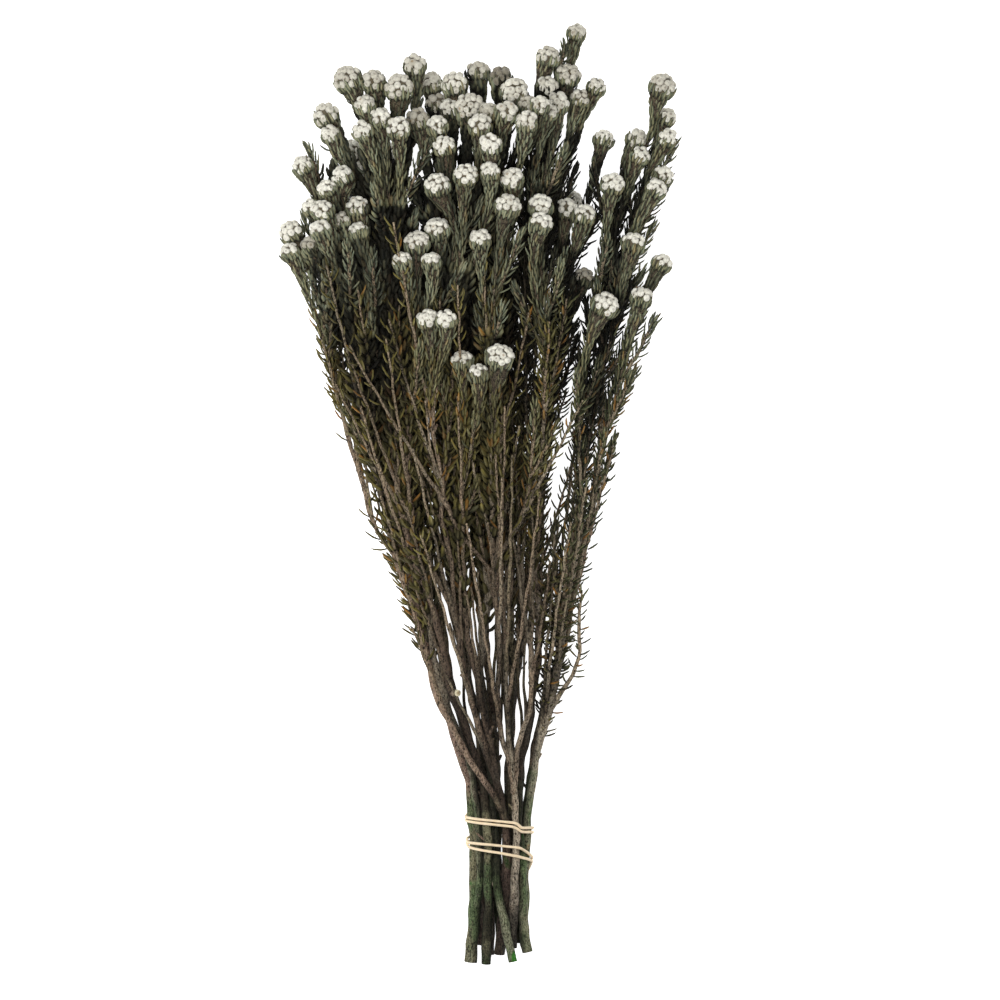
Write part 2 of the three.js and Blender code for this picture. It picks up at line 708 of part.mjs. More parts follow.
function addCapsule(owner, from, to, radius) {
  capsules.push({ owner, line: new THREE.Line3(from.clone(), to.clone()), radius });
}

// The shortest distance between two segments, by bringing the nearest points together in turn.
function segmentDistance(a, b) {
  const [p, q] = [a.getCenter(new THREE.Vector3()), new THREE.Vector3()];
  for (let n = 0; n < 6; n++) {
    b.closestPointToPoint(p, true, q);
    a.closestPointToPoint(q, true, p);
  }
  return p.distanceTo(q);
}

function isClear(owner, leaf) {
  const middle = leaf.getCenter(new THREE.Vector3());
  const reach = leaf.distance() / 2 + LEAF_HALF_WIDTH + LEAF_GAP;
  return capsules.every((other) => {
    if (other.owner === owner) return true;
    const { line, radius } = other;
    const quick = (line.distance() / 2 + reach + radius) ** 2;
    const centre = line.getCenter(new THREE.Vector3());
    if (centre.distanceToSquared(middle) > quick) return true;
    return segmentDistance(leaf, line) > radius + LEAF_HALF_WIDTH + LEAF_GAP;
  });
}

// The stations along a route, in y, at which it gets a ring, and its radius there.
function sections(route) {
  const { low, high } = route;
  if (!route.leafy) {
    const count = Math.max(2, Math.ceil((high - low) / WOOD_STEP));
    const ys = Array.from({ length: count + 1 }, (_, i) => low + ((high - low) * i) / count);
    return ys.map((y) => [y, route.radiusAt(y)]);
  }
  const room = high - low - LEAFLESS_FOOT;
  const rows = LEAF_ROWS.filter((below) => below < room);
  const bare = room - rows[rows.length - 1];
  const count = Math.max(1, Math.round(bare / BARE_STEP));
  const out = [];
  for (let i = 0; i < count; i++) out.push([low + (bare * i) / count, 1.25 * route.radiusAt(low)]);
  const size = route.head ? clamp(route.head.radius / 7.5, 0.75, 1.15) : 1;
  const widest = route.head ? TIP_RADIUS * size : LEAFLESS_TIP_RADIUS;
  for (const below of rows.reverse()) {
    const near = Math.max(1 - below / 16, 0) ** 1.5;
    out.push([high - below, 1.15 * SHOOT_RADIUS * (1 - near) + widest * near]);
  }
  out.firstRow = count;
  return out;
}

function buildRoute(route, owner, seed) {
  const rows = sections(route);
  const centres = rows.map(([y]) => route.at(y));
  const radii = rows.map(([, radius]) => radius);
  const rings = ringsAlong(centres, radii, route.leafy ? SHOOT_SIDES : WOOD_SIDES);
  const shell = new Shell();
  const leafTip = (i, foot, right, left) => {
    if (!route.leafy || i < rows.firstRow) return null;
    const base = shell.point(right).add(shell.point(left)).multiplyScalar(0.5);
    const { along, centre } = rings[i + 1];
    const outward = base.clone().sub(centre).normalize();
    const top = i + 2 === rings.length;
    const spread = LEAF_SPREAD * (top && !route.head ? 0.3 : 1);
    for (const open of [1, 0.7, 0.42]) {
      const tip = base.clone()
        .addScaledVector(outward, spread * open)
        .addScaledVector(along, LEAF_LIFT * (top && route.head ? 0.5 : 1) + 2 * (1 - open));
      const leaf = new THREE.Line3(base.lerp(shell.point(foot), 0.3), tip);
      if (tip.z > LEAF_HALF_WIDTH && isClear(owner, leaf)) {
        addCapsule(owner, leaf.start, leaf.end, LEAF_HALF_WIDTH);
        return tip;
      }
    }
    return null;
  };
  const ids = addWall(shell, rings, leafTip);
  addEnd(shell, ids[0], false);
  const last = ids.length - 1;
  if (route.head && !route.head.free)
    addHead(shell, route.head, seed, ids[last], ((last % 2) / 2) * ((2 * Math.PI) / SHOOT_SIDES));
  else addEnd(shell, ids[last], true);
  return shell.solid();
}

// A head: a dome of buds, each a raised triangle, over a cone that narrows to its shoot. A free
// head ends in a point over the shoot's tip. Any other grows from low, the shoot's last ring.
function addHead(shell, { foot, axis, radius }, seed, low = null, lowTurn = 0) {
  const across = new THREE.Vector3(1, 0, 0).addScaledVector(axis, -axis.x).normalize();
  const up = axis.clone().cross(across);
  const core = radius - 0.8 * BUD_RISE;
  const middle = foot.clone().addScaledVector(axis, 0.62 * radius);
  const start = low ? lowTurn : 6 * draw(seed);
  const ring = (n, out, high, offset) =>
    Array.from({ length: n }, (_, j) => {
      const turn = start + ((j + offset) * 2 * Math.PI) / n;
      return shell.vertex(
        middle.clone()
          .addScaledVector(across, out * Math.cos(turn))
          .addScaledVector(up, out * Math.sin(turn))
          .addScaledVector(axis, high),
      );
    });
  const rim = ring(2 * SHOOT_SIDES, core, -0.05 * core, 0);
  const crown = ring(SHOOT_SIDES, 0.66 * core, 0.6 * core, 0.25);
  const [pole] = ring(1, 0, 0.86 * core, 0);
  const bud = (a, b, c) => {
    const sum = shell.point(a).add(shell.point(b)).add(shell.point(c));
    const centre = sum.divideScalar(3);
    const out = centre.clone().sub(middle).normalize();
    shell.peak(a, b, c, centre.addScaledVector(out, BUD_RISE * (1.25 + 0.5 * draw(seed + a))));
  };
  const bottom = low ? null : shell.vertex(foot.clone().addScaledVector(axis, SEAT_GAP));
  for (let j = 0; j < SHOOT_SIDES; j++) {
    const next = (j + 1) % SHOOT_SIDES;
    const [first, second, third] = [rim[2 * j], rim[2 * j + 1], rim[2 * next]];
    bud(pole, crown[j], crown[next]);
    bud(crown[j], first, second);
    bud(crown[j], second, crown[next]);
    bud(crown[next], second, third);
    shell.face(low ? low[j] : bottom, second, first);
    shell.face(low ? low[next] : bottom, third, second);
    if (low) shell.face(low[j], low[next], second);
  }
}

// The outline that an elastic band takes round the stems at y: the point that lies furthest in
// the direction of an angle, with the band's own half width and gap added.
function bandPoint(routes, y, angle) {
  const reach = (turn) => {
    const [c, s] = [Math.cos(turn), Math.sin(turn)];
    const far = routes.filter((route) => route.low < y && route.high > y).map((route) => {
      const { x, z } = route.at(y);
      return x * c + z * s + 1.04 * route.radiusAt(y);
    });
    return Math.max(...far) + BAND_RADIUS + BAND_GAP;
  };
  const step = 0.02;
  const [out, side] = [reach(angle), (reach(angle + step) - reach(angle - step)) / (2 * step)];
  const [c, s] = [Math.cos(angle), Math.sin(angle)];
  return new THREE.Vector3(out * c - side * s, y, out * s + side * c);
}

// The tie: one closed elastic loop laid double and wound twice. Its strands start at the left of
// the bunch, and BAND_LINE gives both strands' pixel down at each part of a turn.
function buildBand(routes) {
  const strand = (which) => {
    const out = [];
    const [first, last] = [BAND_LINE[0][0], BAND_LINE[BAND_LINE.length - 1][0]];
    const count = Math.round((last - first) * BAND_STEPS);
    for (let i = 0; i <= count; i++) {
      const turn = first + ((last - first) * i) / count;
      const next = clamp(BAND_LINE.findIndex((row) => row[0] > turn), 1, BAND_LINE.length - 1);
      const [from, to] = [BAND_LINE[next - 1], BAND_LINE[next]];
      const down = from[which] + ((to[which] - from[which]) * (turn - from[0])) / (to[0] - from[0]);
      const angle = Math.PI * (1 - 2 * turn);
      out.push({
        centre: bandPoint(routes, (PHOTO_MIDDLE.down - down) * SCALE, angle),
        outward: new THREE.Vector3(Math.cos(angle), 0, Math.sin(angle)),
      });
    }
    return out;
  };
  const loop = [...strand(1), ...strand(2).reverse()];
  if (loop.length % 2) loop.pop();
  const rings = ringsAlong(loop.map((p) => p.centre), loop.map(() => BAND_RADIUS), 4,
    loop.map((p) => p.outward));
  const shell = new Shell();
  addWall(shell, rings, () => null, true);
  return shell.solid();
}

const union = (solids) => solids.reduce((sum, next) => sum.add(next));

// What reaches below the table is cut flat, so that the bunch rests on small flat spots.
function cutAtTable(solid) {
  const slab = new THREE.BoxGeometry(900, 900, 40).translate(0, 0, -20);
  slab.deleteAttribute("normal");
  slab.deleteAttribute("uv");
  const merged = mergeVertices(slab);
  const table = new wasm.Manifold(
    new wasm.Mesh({
      numProp: 3,
      vertProperties: merged.attributes.position.array,
      triVerts: new Uint32Array(merged.index.array),
    }),
  );
  return solid.boundingBox().min[2] < 0 ? solid.subtract(table) : solid;
}

function meshOf(name, solid, colour, roughness) {
  const { vertProperties, triVerts } = solid.getMesh();
  const geometry = new THREE.BufferGeometry()
    .setAttribute("position", new THREE.BufferAttribute(vertProperties, 3))
    .setIndex(new THREE.BufferAttribute(triVerts, 1));
  const mesh = new THREE.Mesh(
    geometry,
    new THREE.MeshStandardMaterial({ color: colour, roughness, metalness: 0 }),
  );
  mesh.name = name;
  return mesh;
}

const numbered = (word, i) => word + "_" + String(i + 1).padStart(2, "0");

const heads = placeHeads();
const routes = layOutRoutes(heads);
bendClear(routes, heads);
drawIn(routes);

for (const route of routes)
  for (let i = 0; i + 1 < route.points.length; i++) {
    const [from, to] = [route.points[i], route.points[i + 1]].map((p) => new THREE.Vector3(...p));
    addCapsule(route.branch, from, to, 1.1 * route.radiusAt(from.y));
  }
for (const head of heads)
  addCapsule(head.free ? head : head.branch, head.centre, head.centre, head.radius + 0.4);

const bunch = new THREE.Group();
for (const b of BRANCHES.keys()) {
  const own = routes.filter((route) => route.branch === b);
  const stems = own.map((route, i) => buildRoute(route, b, 41 * i));
  bunch.add(meshOf(numbered("branch", b), cutAtTable(union(stems)), COLOURS.branch, 0.85));
}
for (const [h, head] of heads.filter((one) => one.free).entries()) {
  const shell = new Shell();
  addHead(shell, head, 97 * h);
  bunch.add(meshOf(numbered("head", h), cutAtTable(shell.solid()), COLOURS.heads, 0.9));
}
bunch.add(meshOf("tie", buildBand(routes), COLOURS.tie, 0.6));

export default bunch;
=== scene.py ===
# A tied bunch of dried phylica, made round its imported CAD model. Lengths are in millimetres while a
# shape is worked out, in the CAD model's own frame: the bunch lies on z = 0 along Y, cut ends
# towards -Y and heads towards +Y. Meshes are stored in metres.
import json
import math
from collections import namedtuple
from functools import lru_cache, partial

import bpy
import numpy as np
from bpy.props import FloatProperty, FloatVectorProperty, PointerProperty
from bpy.types import Operator, Panel, PropertyGroup
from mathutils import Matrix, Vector

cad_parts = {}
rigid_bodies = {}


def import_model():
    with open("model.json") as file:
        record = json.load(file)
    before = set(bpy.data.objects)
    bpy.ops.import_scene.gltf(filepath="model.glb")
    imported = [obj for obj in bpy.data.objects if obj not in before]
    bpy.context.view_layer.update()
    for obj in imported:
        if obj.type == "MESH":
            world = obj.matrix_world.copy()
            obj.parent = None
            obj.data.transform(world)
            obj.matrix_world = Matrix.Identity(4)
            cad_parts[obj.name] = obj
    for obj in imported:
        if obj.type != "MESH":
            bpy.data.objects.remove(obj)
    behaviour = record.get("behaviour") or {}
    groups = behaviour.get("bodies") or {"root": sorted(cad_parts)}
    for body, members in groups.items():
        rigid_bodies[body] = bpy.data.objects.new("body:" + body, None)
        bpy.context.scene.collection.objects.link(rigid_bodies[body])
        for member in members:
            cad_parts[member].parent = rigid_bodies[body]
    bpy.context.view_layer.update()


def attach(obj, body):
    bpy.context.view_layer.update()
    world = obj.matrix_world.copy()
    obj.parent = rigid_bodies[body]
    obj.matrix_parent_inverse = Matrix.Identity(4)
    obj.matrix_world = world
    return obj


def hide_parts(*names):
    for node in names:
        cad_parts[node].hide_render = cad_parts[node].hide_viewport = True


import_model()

bl_info = {
    "name": "Dried phylica bunch",
    "version": (1, 0, 0),
    "blender": (4, 5, 0),
    "location": "View3D > Sidebar > Phylica",
    "description": "Makes the wood, leaves, heads and tie of a bunch of dried phylica",
    "category": "Add Mesh",
}

MM = 0.001
NOWHERE = -1e9  # lower than any place
LOWEST = 0.02  # no vertex of wood, heads or tie lies lower than this above the table
GOLDEN_TURN = math.pi * (3 - math.sqrt(5))

# Sizes of the CAD model's layout, which is worked out again here
BUNCH_LENGTH = 563
PHOTO_LENGTH = 938  # the bunch's length in photograph pixels
MIDDLE_ACROSS, MIDDLE_DOWN = 480, 495  # the pixel over the origin
SCALE = BUNCH_LENGTH / PHOTO_LENGTH
LEVEL = 12
LOWEST_LEVEL = -288
END_MARGIN = 4
STEM_GAP = 1.1
TIED_BELOW, TIED_GAP = -150, 0.3
LEAF_ROOM = 1.6
HEAD_ROOM = 2.2
STEM_SWELL = 1.1  # room for bark and knots, as a share of a stem's radius
LEAVES_FROM, LEAVES_RISE = 90, 40  # mm below a shoot's top, where its leaves begin to need room
BEND_ROUNDS, BEND_MOST, EVENING = 140, 2, 0.3
STEM_PUSH, STEM_ACROSS = 0.3, 0.5  # how hard stems part, and how much less of it is sideways
STEM_SWAY = 0.2  # and which way, where they are as high as one another
HEAD_PUSHES, HEAD_ACROSS, HEAD_BELOW = 0.5, 0.6, 3  # and stems from heads
HEAD_NEAR, SINK = 2, 0.6
PARTING_LEVELS = 5
TABLE_FLAT = 0.7
SLIMMER = 0.82
DRAW_FREE, DRAW_TIED, DRAW_MIDDLE = -95, -175, 16
SPREAD_FROM, SPREAD_ENDS, PARTED = -230, -285, 0.1
SIDE_WAY_LEAD = 14
GROUP_FORKS = 3
FOLLOWER_SHORTEST, FOLLOWER_SPREAD = 52, 46
SHOOT_RADIUS = 1.6
SHOOT_SHARE, SHOOT_THICKEST = 0.85, 1.25  # of its parent's radius, and of SHOOT_RADIUS
TOP_SHARE, THINNEST_TOP = 0.62, 1.9  # a branch's top, as a share of its foot and in mm
SIDE_SHARE, THICKEST_SIDE, SIDE_TAPER = 0.82, 2.7, 0.75
TIP_LENGTH, TIP_LEAN, TIP_LEVEL = 75, 0.004, 50
HEAD_STAGGER = 0.55
HEAD_GAP = 0.4
HEAD_ROUNDS, HEAD_PUSH = 120, 0.2
HEAD_FOOT = 0.8
LEAN_ACROSS, LEAN_UP, LEAN_LEVEL, LEAN_RANDOM = 0.0045, 0.009, 50, 0.35
FREE_HEADS = 45
BAND_GAP = 0.5
BAND_TURNS = [-0.1, 0, 0.25, 0.4, 0.5, 0.75, 1, 1.08, 1.25, 1.37, 1.5, 1.6]
BAND_DOWNS = [
    [811, 817, 823, 828, 827.5, 832.5, 838, 842.5, 845.5, 848, 857, 866],
    [816, 820.5, 826.7, 832, 832, 836.5, 842, 847, 854, 857, 861, 871],
]

# Side shoots that the CAD model leaves out
SPRIG_SEED, SPRIG_TRIES, SPRIG_ROOM = 5, 10, 2.2
SPRIGS_A_SHOOT, SPRIG_BELOW, SPRIG_LENGTH, SPRIG_LEAN = 3, (38, 150), (26, 48), (0.28, 0.6)
TWIG_EVERY, TWIG_LENGTH, TWIG_LEAN, TWIG_LOWEST = 30, (45, 130), (0.08, 0.32), -175
SPRIG_HIGHEST = 215  # the y above which no side shoot ends
SPRIG_RADII, TWIG_RADII, FILLER_RADII = [1.0, 0.7], [1.15, 0.6], [1.0, 0.55]  # foot and tip
TWIG_FROM, TWIG_ENDS, PARENT_END = 35, 45, 5  # where on its parent a side shoot may stand
SPRIG_SHARES, SPRIG_OFF = (0.45, 0.7, 1), 2  # where it is tested, and how far off heads and table
LINE_STEP, SPRIG_START = 5.0, 8  # points along a line that new ones keep clear of
COVER_CELL, COVER_MARGIN, COVER_ABOVE, COVER_STEP = 6.5, 4, 4, 4.0
TOP_LIT, TOP_DARK = 0.96, 0.2  # shares of the bunch's height there
EDGE_LIT, EDGE_SHARE, BOTTOM_SHARE = 12, 0.14, 0.12  # mm, and shares of the width and height
DIM_MOST = 0.8  # how much painted shade a shoot or stem may get at random
FILLERS, FILLER_Y, FILLER_LONG, FILLER_LEAN = 240, (-95, 60), (50, 105), (0.08, 0.36)
FILLER_RIGHT, FILLER_GAP, FILLER_FAR, FILLER_ROOM = 18, 1.0, 6.0, 1.3
FILLER_SHARES, FILLER_LEVEL, FILLER_INSIDE = (0.5, 0.65, 0.8, 0.95), 3, 4
FILLER_END, FILLER_START = 8, 6
SPREAD = (-180, -120, 0, 100, 170, 290), (24, 34, 66, 104, 118, 116)  # y, and half widths there
SPREAD_MIDDLE = 4

# The plan. A way is a woody stretch through stations (across, down, height): two photograph
# pixels, and mm above the table. The first way starts at the cut end, and each later one grows
# from the way numbered by "on". A group is a spray of heads, (across, down, width) in pixels,
# round a height in mm, carried by the way numbered by "way". A tip is a leafy shoot with no head.
Way = namedtuple("Way", "on stations")
Group = namedtuple("Group", "way height heads")
Tip = namedtuple("Tip", "way at")
Branch = namedtuple("Branch", "thick ways groups tips", defaults=((),))
BRANCHES = [
    Branch(thick=4.4, ways=[
        Way(None, [(496, 954, 9), (499, 928, 14), (502, 900, 23), (504, 868, 29), (504, 840, 31),
            (500, 815, 32), (496, 797, 33)]),
        Way(0, [(489, 772, 35), (480, 750, 37), (472, 715, 41), (465, 680, 45), (459, 640, 50),
            (453, 608, 54)]),
        Way(1, [(433, 570, 58), (418, 541, 63), (411, 506, 68), (408, 464, 73), (411, 420, 79)]),
        Way(1, [(452, 575, 58), (446, 540, 62), (440, 510, 66), (443, 475, 71), (446, 445, 76)]),
        Way(0, [(493, 775, 34), (486, 745, 36), (480, 710, 39), (474, 670, 43), (468, 640, 46),
            (464, 610, 50), (462, 570, 54), (458, 530, 58)]),
        Way(0, [(482, 785, 41), (470, 773, 44), (452, 742, 43), (434, 702, 41), (431, 685, 40),
            (425, 650, 41), (414, 612, 44), (403, 580, 47), (391, 547, 50)]),
        Way(5, [(375, 528, 50), (367, 499, 51), (359, 471, 52), (350, 443, 54), (340, 405, 57)]),
        Way(5, [(385, 515, 53), (378, 485, 56), (370, 455, 60)]),
    ], groups=[
        Group(2, 104, [(417, 241, 27), (437, 228, 26), (402, 260, 20), (431, 260, 20)]),
        Group(2, 108, [(437, 184, 26)]),
        Group(3, 114, [(466, 174, 25), (490, 170, 20)]),
        Group(4, 98, [(417, 118, 25), (437, 125, 22), (444, 145, 23)]),
        Group(4, 98, [(462, 359, 22), (478, 372, 22)]),
        Group(6, 84, [(291, 231, 26), (289, 251, 20), (311, 246, 25)]),
        Group(7, 92, [(322, 210, 23), (326, 188, 20), (342, 175, 22), (310, 206, 18), (320, 229, 22)]),
    ], tips=[Tip(6, (306, 146, 66))]),
    Branch(thick=4.6, ways=[
        Way(None, [(468, 962, 10), (470, 930, 13), (469, 900, 15), (469, 860, 17), (469, 840, 18),
            (465, 800, 19), (462, 780, 20), (450, 740, 22), (440, 700, 24), (432, 660, 28),
            (425, 625, 33), (415, 590, 38), (405, 555, 43)]),
        Way(0, [(474, 900, 21), (475, 870, 25), (476, 840, 27), (471, 800, 28), (467, 770, 29),
            (456, 735, 31), (446, 700, 34), (438, 660, 38), (432, 625, 43), (424, 590, 48),
            (416, 560, 53)]),
    ], groups=[
        Group(0, 84, [(357, 206, 24), (340, 220, 20), (358, 230, 20)]),
        Group(0, 78, [(325, 114, 27), (330, 133, 20)]),
        Group(1, 92, [(347, 78, 30), (373, 80, 24), (365, 104, 22)]),
    ]),
    Branch(thick=3.4, ways=[
        Way(None, [(487, 964, 14), (488, 920, 20), (487, 880, 26), (485, 840, 31), (480, 800, 29),
            (474, 775, 28), (463, 740, 30), (450, 700, 34), (442, 660, 40), (436, 625, 47),
            (425, 590, 53), (408, 545, 60), (398, 500, 67)]),
    ], groups=[
        Group(0, 102, [(380, 117, 22), (398, 127, 24), (362, 130, 22)]),
        Group(0, 88, [(399, 86, 30), (414, 64, 24)]),
    ]),
    Branch(thick=3.4, ways=[
        Way(None, [(515, 962, 24), (508, 930, 24), (500, 905, 25), (495, 880, 24), (492, 840, 24),
            (489, 800, 24), (486, 760, 26), (482, 720, 28), (480, 680, 30), (483, 640, 35),
            (487, 600, 40), (484, 560, 46)]),
    ], groups=[
        Group(0, 94, [(470, 106, 31), (480, 124, 25), (489, 111, 20), (490, 143, 24)]),
        Group(0, 82, [(431, 82, 24), (437, 103, 24), (450, 108, 22), (454, 83, 28)]),
    ]),
    Branch(thick=3.6, ways=[
        Way(None, [(513, 946, 16), (514, 920, 20), (517, 890, 26), (517, 860, 30), (519, 840, 31),
            (517, 810, 33), (514, 775, 35)]),
        Way(0, [(507, 752, 37), (500, 730, 38), (498, 700, 41), (500, 660, 45), (499, 620, 50),
            (497, 590, 54), (494, 565, 57)]),
        Way(1, [(478, 553, 60), (462, 535, 63), (452, 513, 66), (445, 495, 69), (441, 465, 72),
            (434, 430, 77), (430, 395, 82)]),
        Way(1, [(493, 540, 60), (492, 518, 63), (492, 490, 66), (494, 450, 72)]),
        Way(0, [(511, 748, 37), (507, 725, 38), (506, 700, 40), (505, 660, 44), (503, 620, 48),
            (505, 585, 50), (506, 550, 53)]),
        Way(0, [(520, 744, 38), (528, 725, 39), (532, 695, 41), (531, 655, 44), (524, 610, 47),
            (519, 575, 50), (519, 540, 54)]),
        Way(1, [(505, 548, 62), (519, 525, 65), (533, 492, 69), (541, 464, 72), (544, 422, 77),
            (544, 380, 83)]),
    ], groups=[
        Group(2, 108, [(427, 318, 22), (446, 318, 22)]),
        Group(3, 110, [(500, 356, 30)]),
        Group(3, 110, [(508, 205, 27), (512, 178, 24)]),
        Group(4, 108, [(480, 238, 23)]),
        Group(5, 100, [(515, 91, 31), (507, 111, 24), (527, 120, 23), (528, 104, 20), (540, 104, 20)]),
        Group(6, 106, [(541, 205, 26), (541, 222, 24)]),
    ], tips=[Tip(6, (536, 404, 84))]),
    Branch(thick=3.6, ways=[
        Way(None, [(528, 952, 16), (523, 925, 18), (524, 890, 20), (524, 860, 23), (521, 835, 25),
            (520, 800, 26), (523, 770, 27), (528, 740, 28), (533, 710, 30), (537, 670, 34),
            (540, 630, 38), (538, 590, 42), (536, 550, 47)]),
    ], groups=[
        Group(0, 86, [(548, 56, 25), (568, 74, 26), (548, 85, 22), (558, 102, 24), (548, 111, 20)]),
        Group(0, 78, [(567, 208, 24), (585, 214, 24)]),
    ], tips=[Tip(0, (564, 43, 80))]),
    Branch(thick=3.2, ways=[
        Way(None, [(524, 937, 10), (527, 900, 13), (529, 860, 16), (530, 840, 18), (533, 810, 20),
            (538, 780, 22), (544, 745, 25), (550, 715, 28), (556, 680, 32), (560, 640, 36),
            (563, 605, 40), (572, 570, 45), (580, 530, 50)]),
        Way(0, [(558, 700, 30), (570, 684, 32), (576, 665, 34)]),
    ], groups=[
        Group(0, 98, [(606, 304, 28)]),
        Group(0, 92, [(634, 242, 24)]),
        Group(0, 90, [(613, 183, 24)]),
        Group(0, 87, [(642, 296, 23)]),
    ], tips=[Tip(1, (582, 590, 44)), Tip(0, (556, 520, 58))]),
    Branch(thick=3, ways=[
        Way(None, [(519, 943, 5), (523, 900, 7), (526, 840, 11), (531, 800, 14), (536, 765, 16),
            (543, 730, 19), (549, 700, 22), (556, 660, 26), (566, 615, 31), (580, 560, 37),
            (592, 510, 43)]),
    ], groups=[
        Group(0, 68, [(637, 138, 22), (641, 155, 20)]),
        Group(0, 70, [(663, 262, 21)]),
        Group(0, 74, [(664, 175, 22), (657, 188, 22)]),
        Group(0, 70, [(668, 137, 20), (667, 116, 20)]),
        Group(0, 80, [(663, 85, 28)]),
    ]),
    Branch(thick=3.2, ways=[
        Way(None, [(477, 945, 6), (479, 900, 9), (480, 840, 15), (474, 800, 16), (466, 760, 18),
            (456, 720, 20), (447, 680, 22), (438, 640, 26), (428, 600, 30), (417, 560, 34)]),
    ], groups=[
        Group(0, 70, [(302, 165, 22)]),
        Group(0, 44, [(372, 150, 24), (352, 150, 24), (362, 170, 24)]),
    ]),
    Branch(thick=3.2, ways=[
        Way(None, [(507, 948, 3.4), (501, 900, 8), (498, 840, 14), (496, 790, 15), (493, 740, 16),
            (490, 690, 18), (487, 640, 20), (483, 590, 23), (478, 540, 27)]),
    ], groups=[
        Group(0, 58, [(478, 71, 24), (501, 76, 24)]),
        Group(0, 50, [(470, 280, 22), (478, 292, 22), (495, 285, 22)]),
    ]),
    Branch(thick=3.2, ways=[
        Way(None, [(510, 948, 8), (511, 900, 12), (513, 840, 18), (511, 790, 19), (511, 740, 20),
            (512, 690, 22), (512, 640, 25), (511, 590, 29), (510, 540, 34)]),
    ], groups=[
        Group(0, 72, [(577, 32, 20)]),
        Group(0, 76, [(580, 97, 20), (597, 86, 20)]),
        Group(0, 50, [(545, 155, 22)]),
    ]),
    Branch(thick=3.2, ways=[
        Way(None, [(489, 955, 3), (488, 900, 4), (487, 840, 6), (482, 790, 7), (476, 740, 8),
            (470, 690, 10), (464, 640, 12), (457, 590, 15), (450, 540, 19)]),
    ], groups=[
        Group(0, 6, [(440, 180, 24), (422, 190, 24)]),
        Group(0, 24, [(452, 225, 24), (474, 222, 24)]),
    ]),
    Branch(thick=3.2, ways=[
        Way(None, [(508, 942, 3), (507, 900, 4), (505, 840, 6), (507, 790, 7), (510, 740, 8),
            (514, 690, 10), (519, 640, 12), (524, 590, 15), (530, 540, 19)]),
    ], groups=[
        Group(0, 60, [(584, 277, 23)]),
        Group(0, 54, [(604, 138, 21)]),
        Group(0, 6, [(552, 190, 24), (572, 200, 24)]),
    ]),
    Branch(thick=3, ways=[
        Way(None, [(474, 940, 3), (473, 900, 5), (472, 840, 9), (467, 800, 10), (458, 760, 11),
            (447, 720, 12), (436, 680, 14), (424, 640, 16), (412, 600, 19), (402, 560, 23)]),
    ], groups=[
        Group(0, 22, [(362, 230, 24), (380, 240, 24)]),
        Group(0, 6, [(400, 150, 24), (386, 162, 24)]),
    ]),
]


def draw(seed):
    """A repeatable number from 0 to 1: the fraction of 43758.5453 sin(12.9898 (seed + 1))."""
    wave = np.sin((seed + 1) * 12.9898) * 43758.5453
    return wave - np.floor(wave)


def unit(vectors):
    """Each vector divided by its length."""
    return vectors / np.linalg.norm(vectors, axis=-1, keepdims=True)


def share(value, start, run):
    """How far a value has gone on a run from its start, held between 0 and 1."""
    return np.clip((value - start) / run, 0, 1)


def fade(distance, reach):
    """1 at no distance, falling evenly to 0 at a reach and beyond."""
    return np.clip(1 - distance / reach, 0, 1)


def spokes(turn, across, up):
    """The direction at each turn round a line: cos turn across + sin turn up."""
    return np.cos(turn)[..., None] * across + np.sin(turn)[..., None] * up


def even_turns(n):
    """The angles of n points spread evenly round a circle."""
    return np.arange(n) * 2 * math.pi / n


def length_along(points):
    """How far along a line each of its points lies."""
    return np.concatenate([[0], np.cumsum(np.linalg.norm(np.diff(points, axis=0), axis=1))])


def from_photo(rows):
    """Pixels across and down, and a height, to x, y and z in mm."""
    across, down, height = np.asarray(rows, float).reshape(-1, 3).T
    return np.stack([(across - MIDDLE_ACROSS) * SCALE, (MIDDLE_DOWN - down) * SCALE, height], 1)


def down_pixel(y):
    """The photograph's pixel row over a y in mm."""
    return MIDDLE_DOWN - y / SCALE


def across_pixel(x):
    """The photograph's pixel column over an x in mm."""
    return MIDDLE_ACROSS + x / SCALE


def level_y(k):
    """The y of a level."""
    return LOWEST_LEVEL + k * LEVEL


def hermite(t, a, b, start, end):
    """x and z at share t of a cubic from a to b, whose slopes at its ends are start and end:
    a (1 + 2t)(1 - t)^2 + start t (1 - t)^2 + b t^2 (3 - 2t) - end t^2 (1 - t)."""
    t = t[:, None]
    point = a * (1 + 2 * t) * (1 - t) ** 2 + start * t * (1 - t) ** 2
    point = point + b * t * t * (3 - 2 * t) - end * t * t * (1 - t)
    return point[:, [0, 2]]


def curve_at(stations, y):
    """x and z at each y of a smooth curve through stations sorted by y. The slope at a station is
    that of the line between its two neighbours."""
    last = len(stations) - 1
    i = np.arange(last + 1)
    before, after = stations[np.maximum(i - 1, 0)], stations[np.minimum(i + 1, last)]
    slope = (after - before) / (after[:, 1:2] - before[:, 1:2])
    i = np.searchsorted(stations[1:last, 1], y)
    run = (stations[i + 1, 1] - stations[i, 1])[:, None]
    t = (y - stations[i, 1]) / run[:, 0]
    return hermite(t, stations[i], stations[i + 1], slope[i] * run, slope[i + 1] * run)


class Line:
    """What stems, shoots and side twigs share."""

    def radius_at(self, y):
        """The line's radius at each y, which falls evenly from its foot to its top."""
        t = share(y, self.low, self.high - self.low)
        return self.radius[0] + (self.radius[1] - self.radius[0]) * t

    def dots(self, start=0, step=LINE_STEP):
        """Points along the line, one step apart, from a little above its foot."""
        return self.at(np.arange(self.low + start, self.high, step))


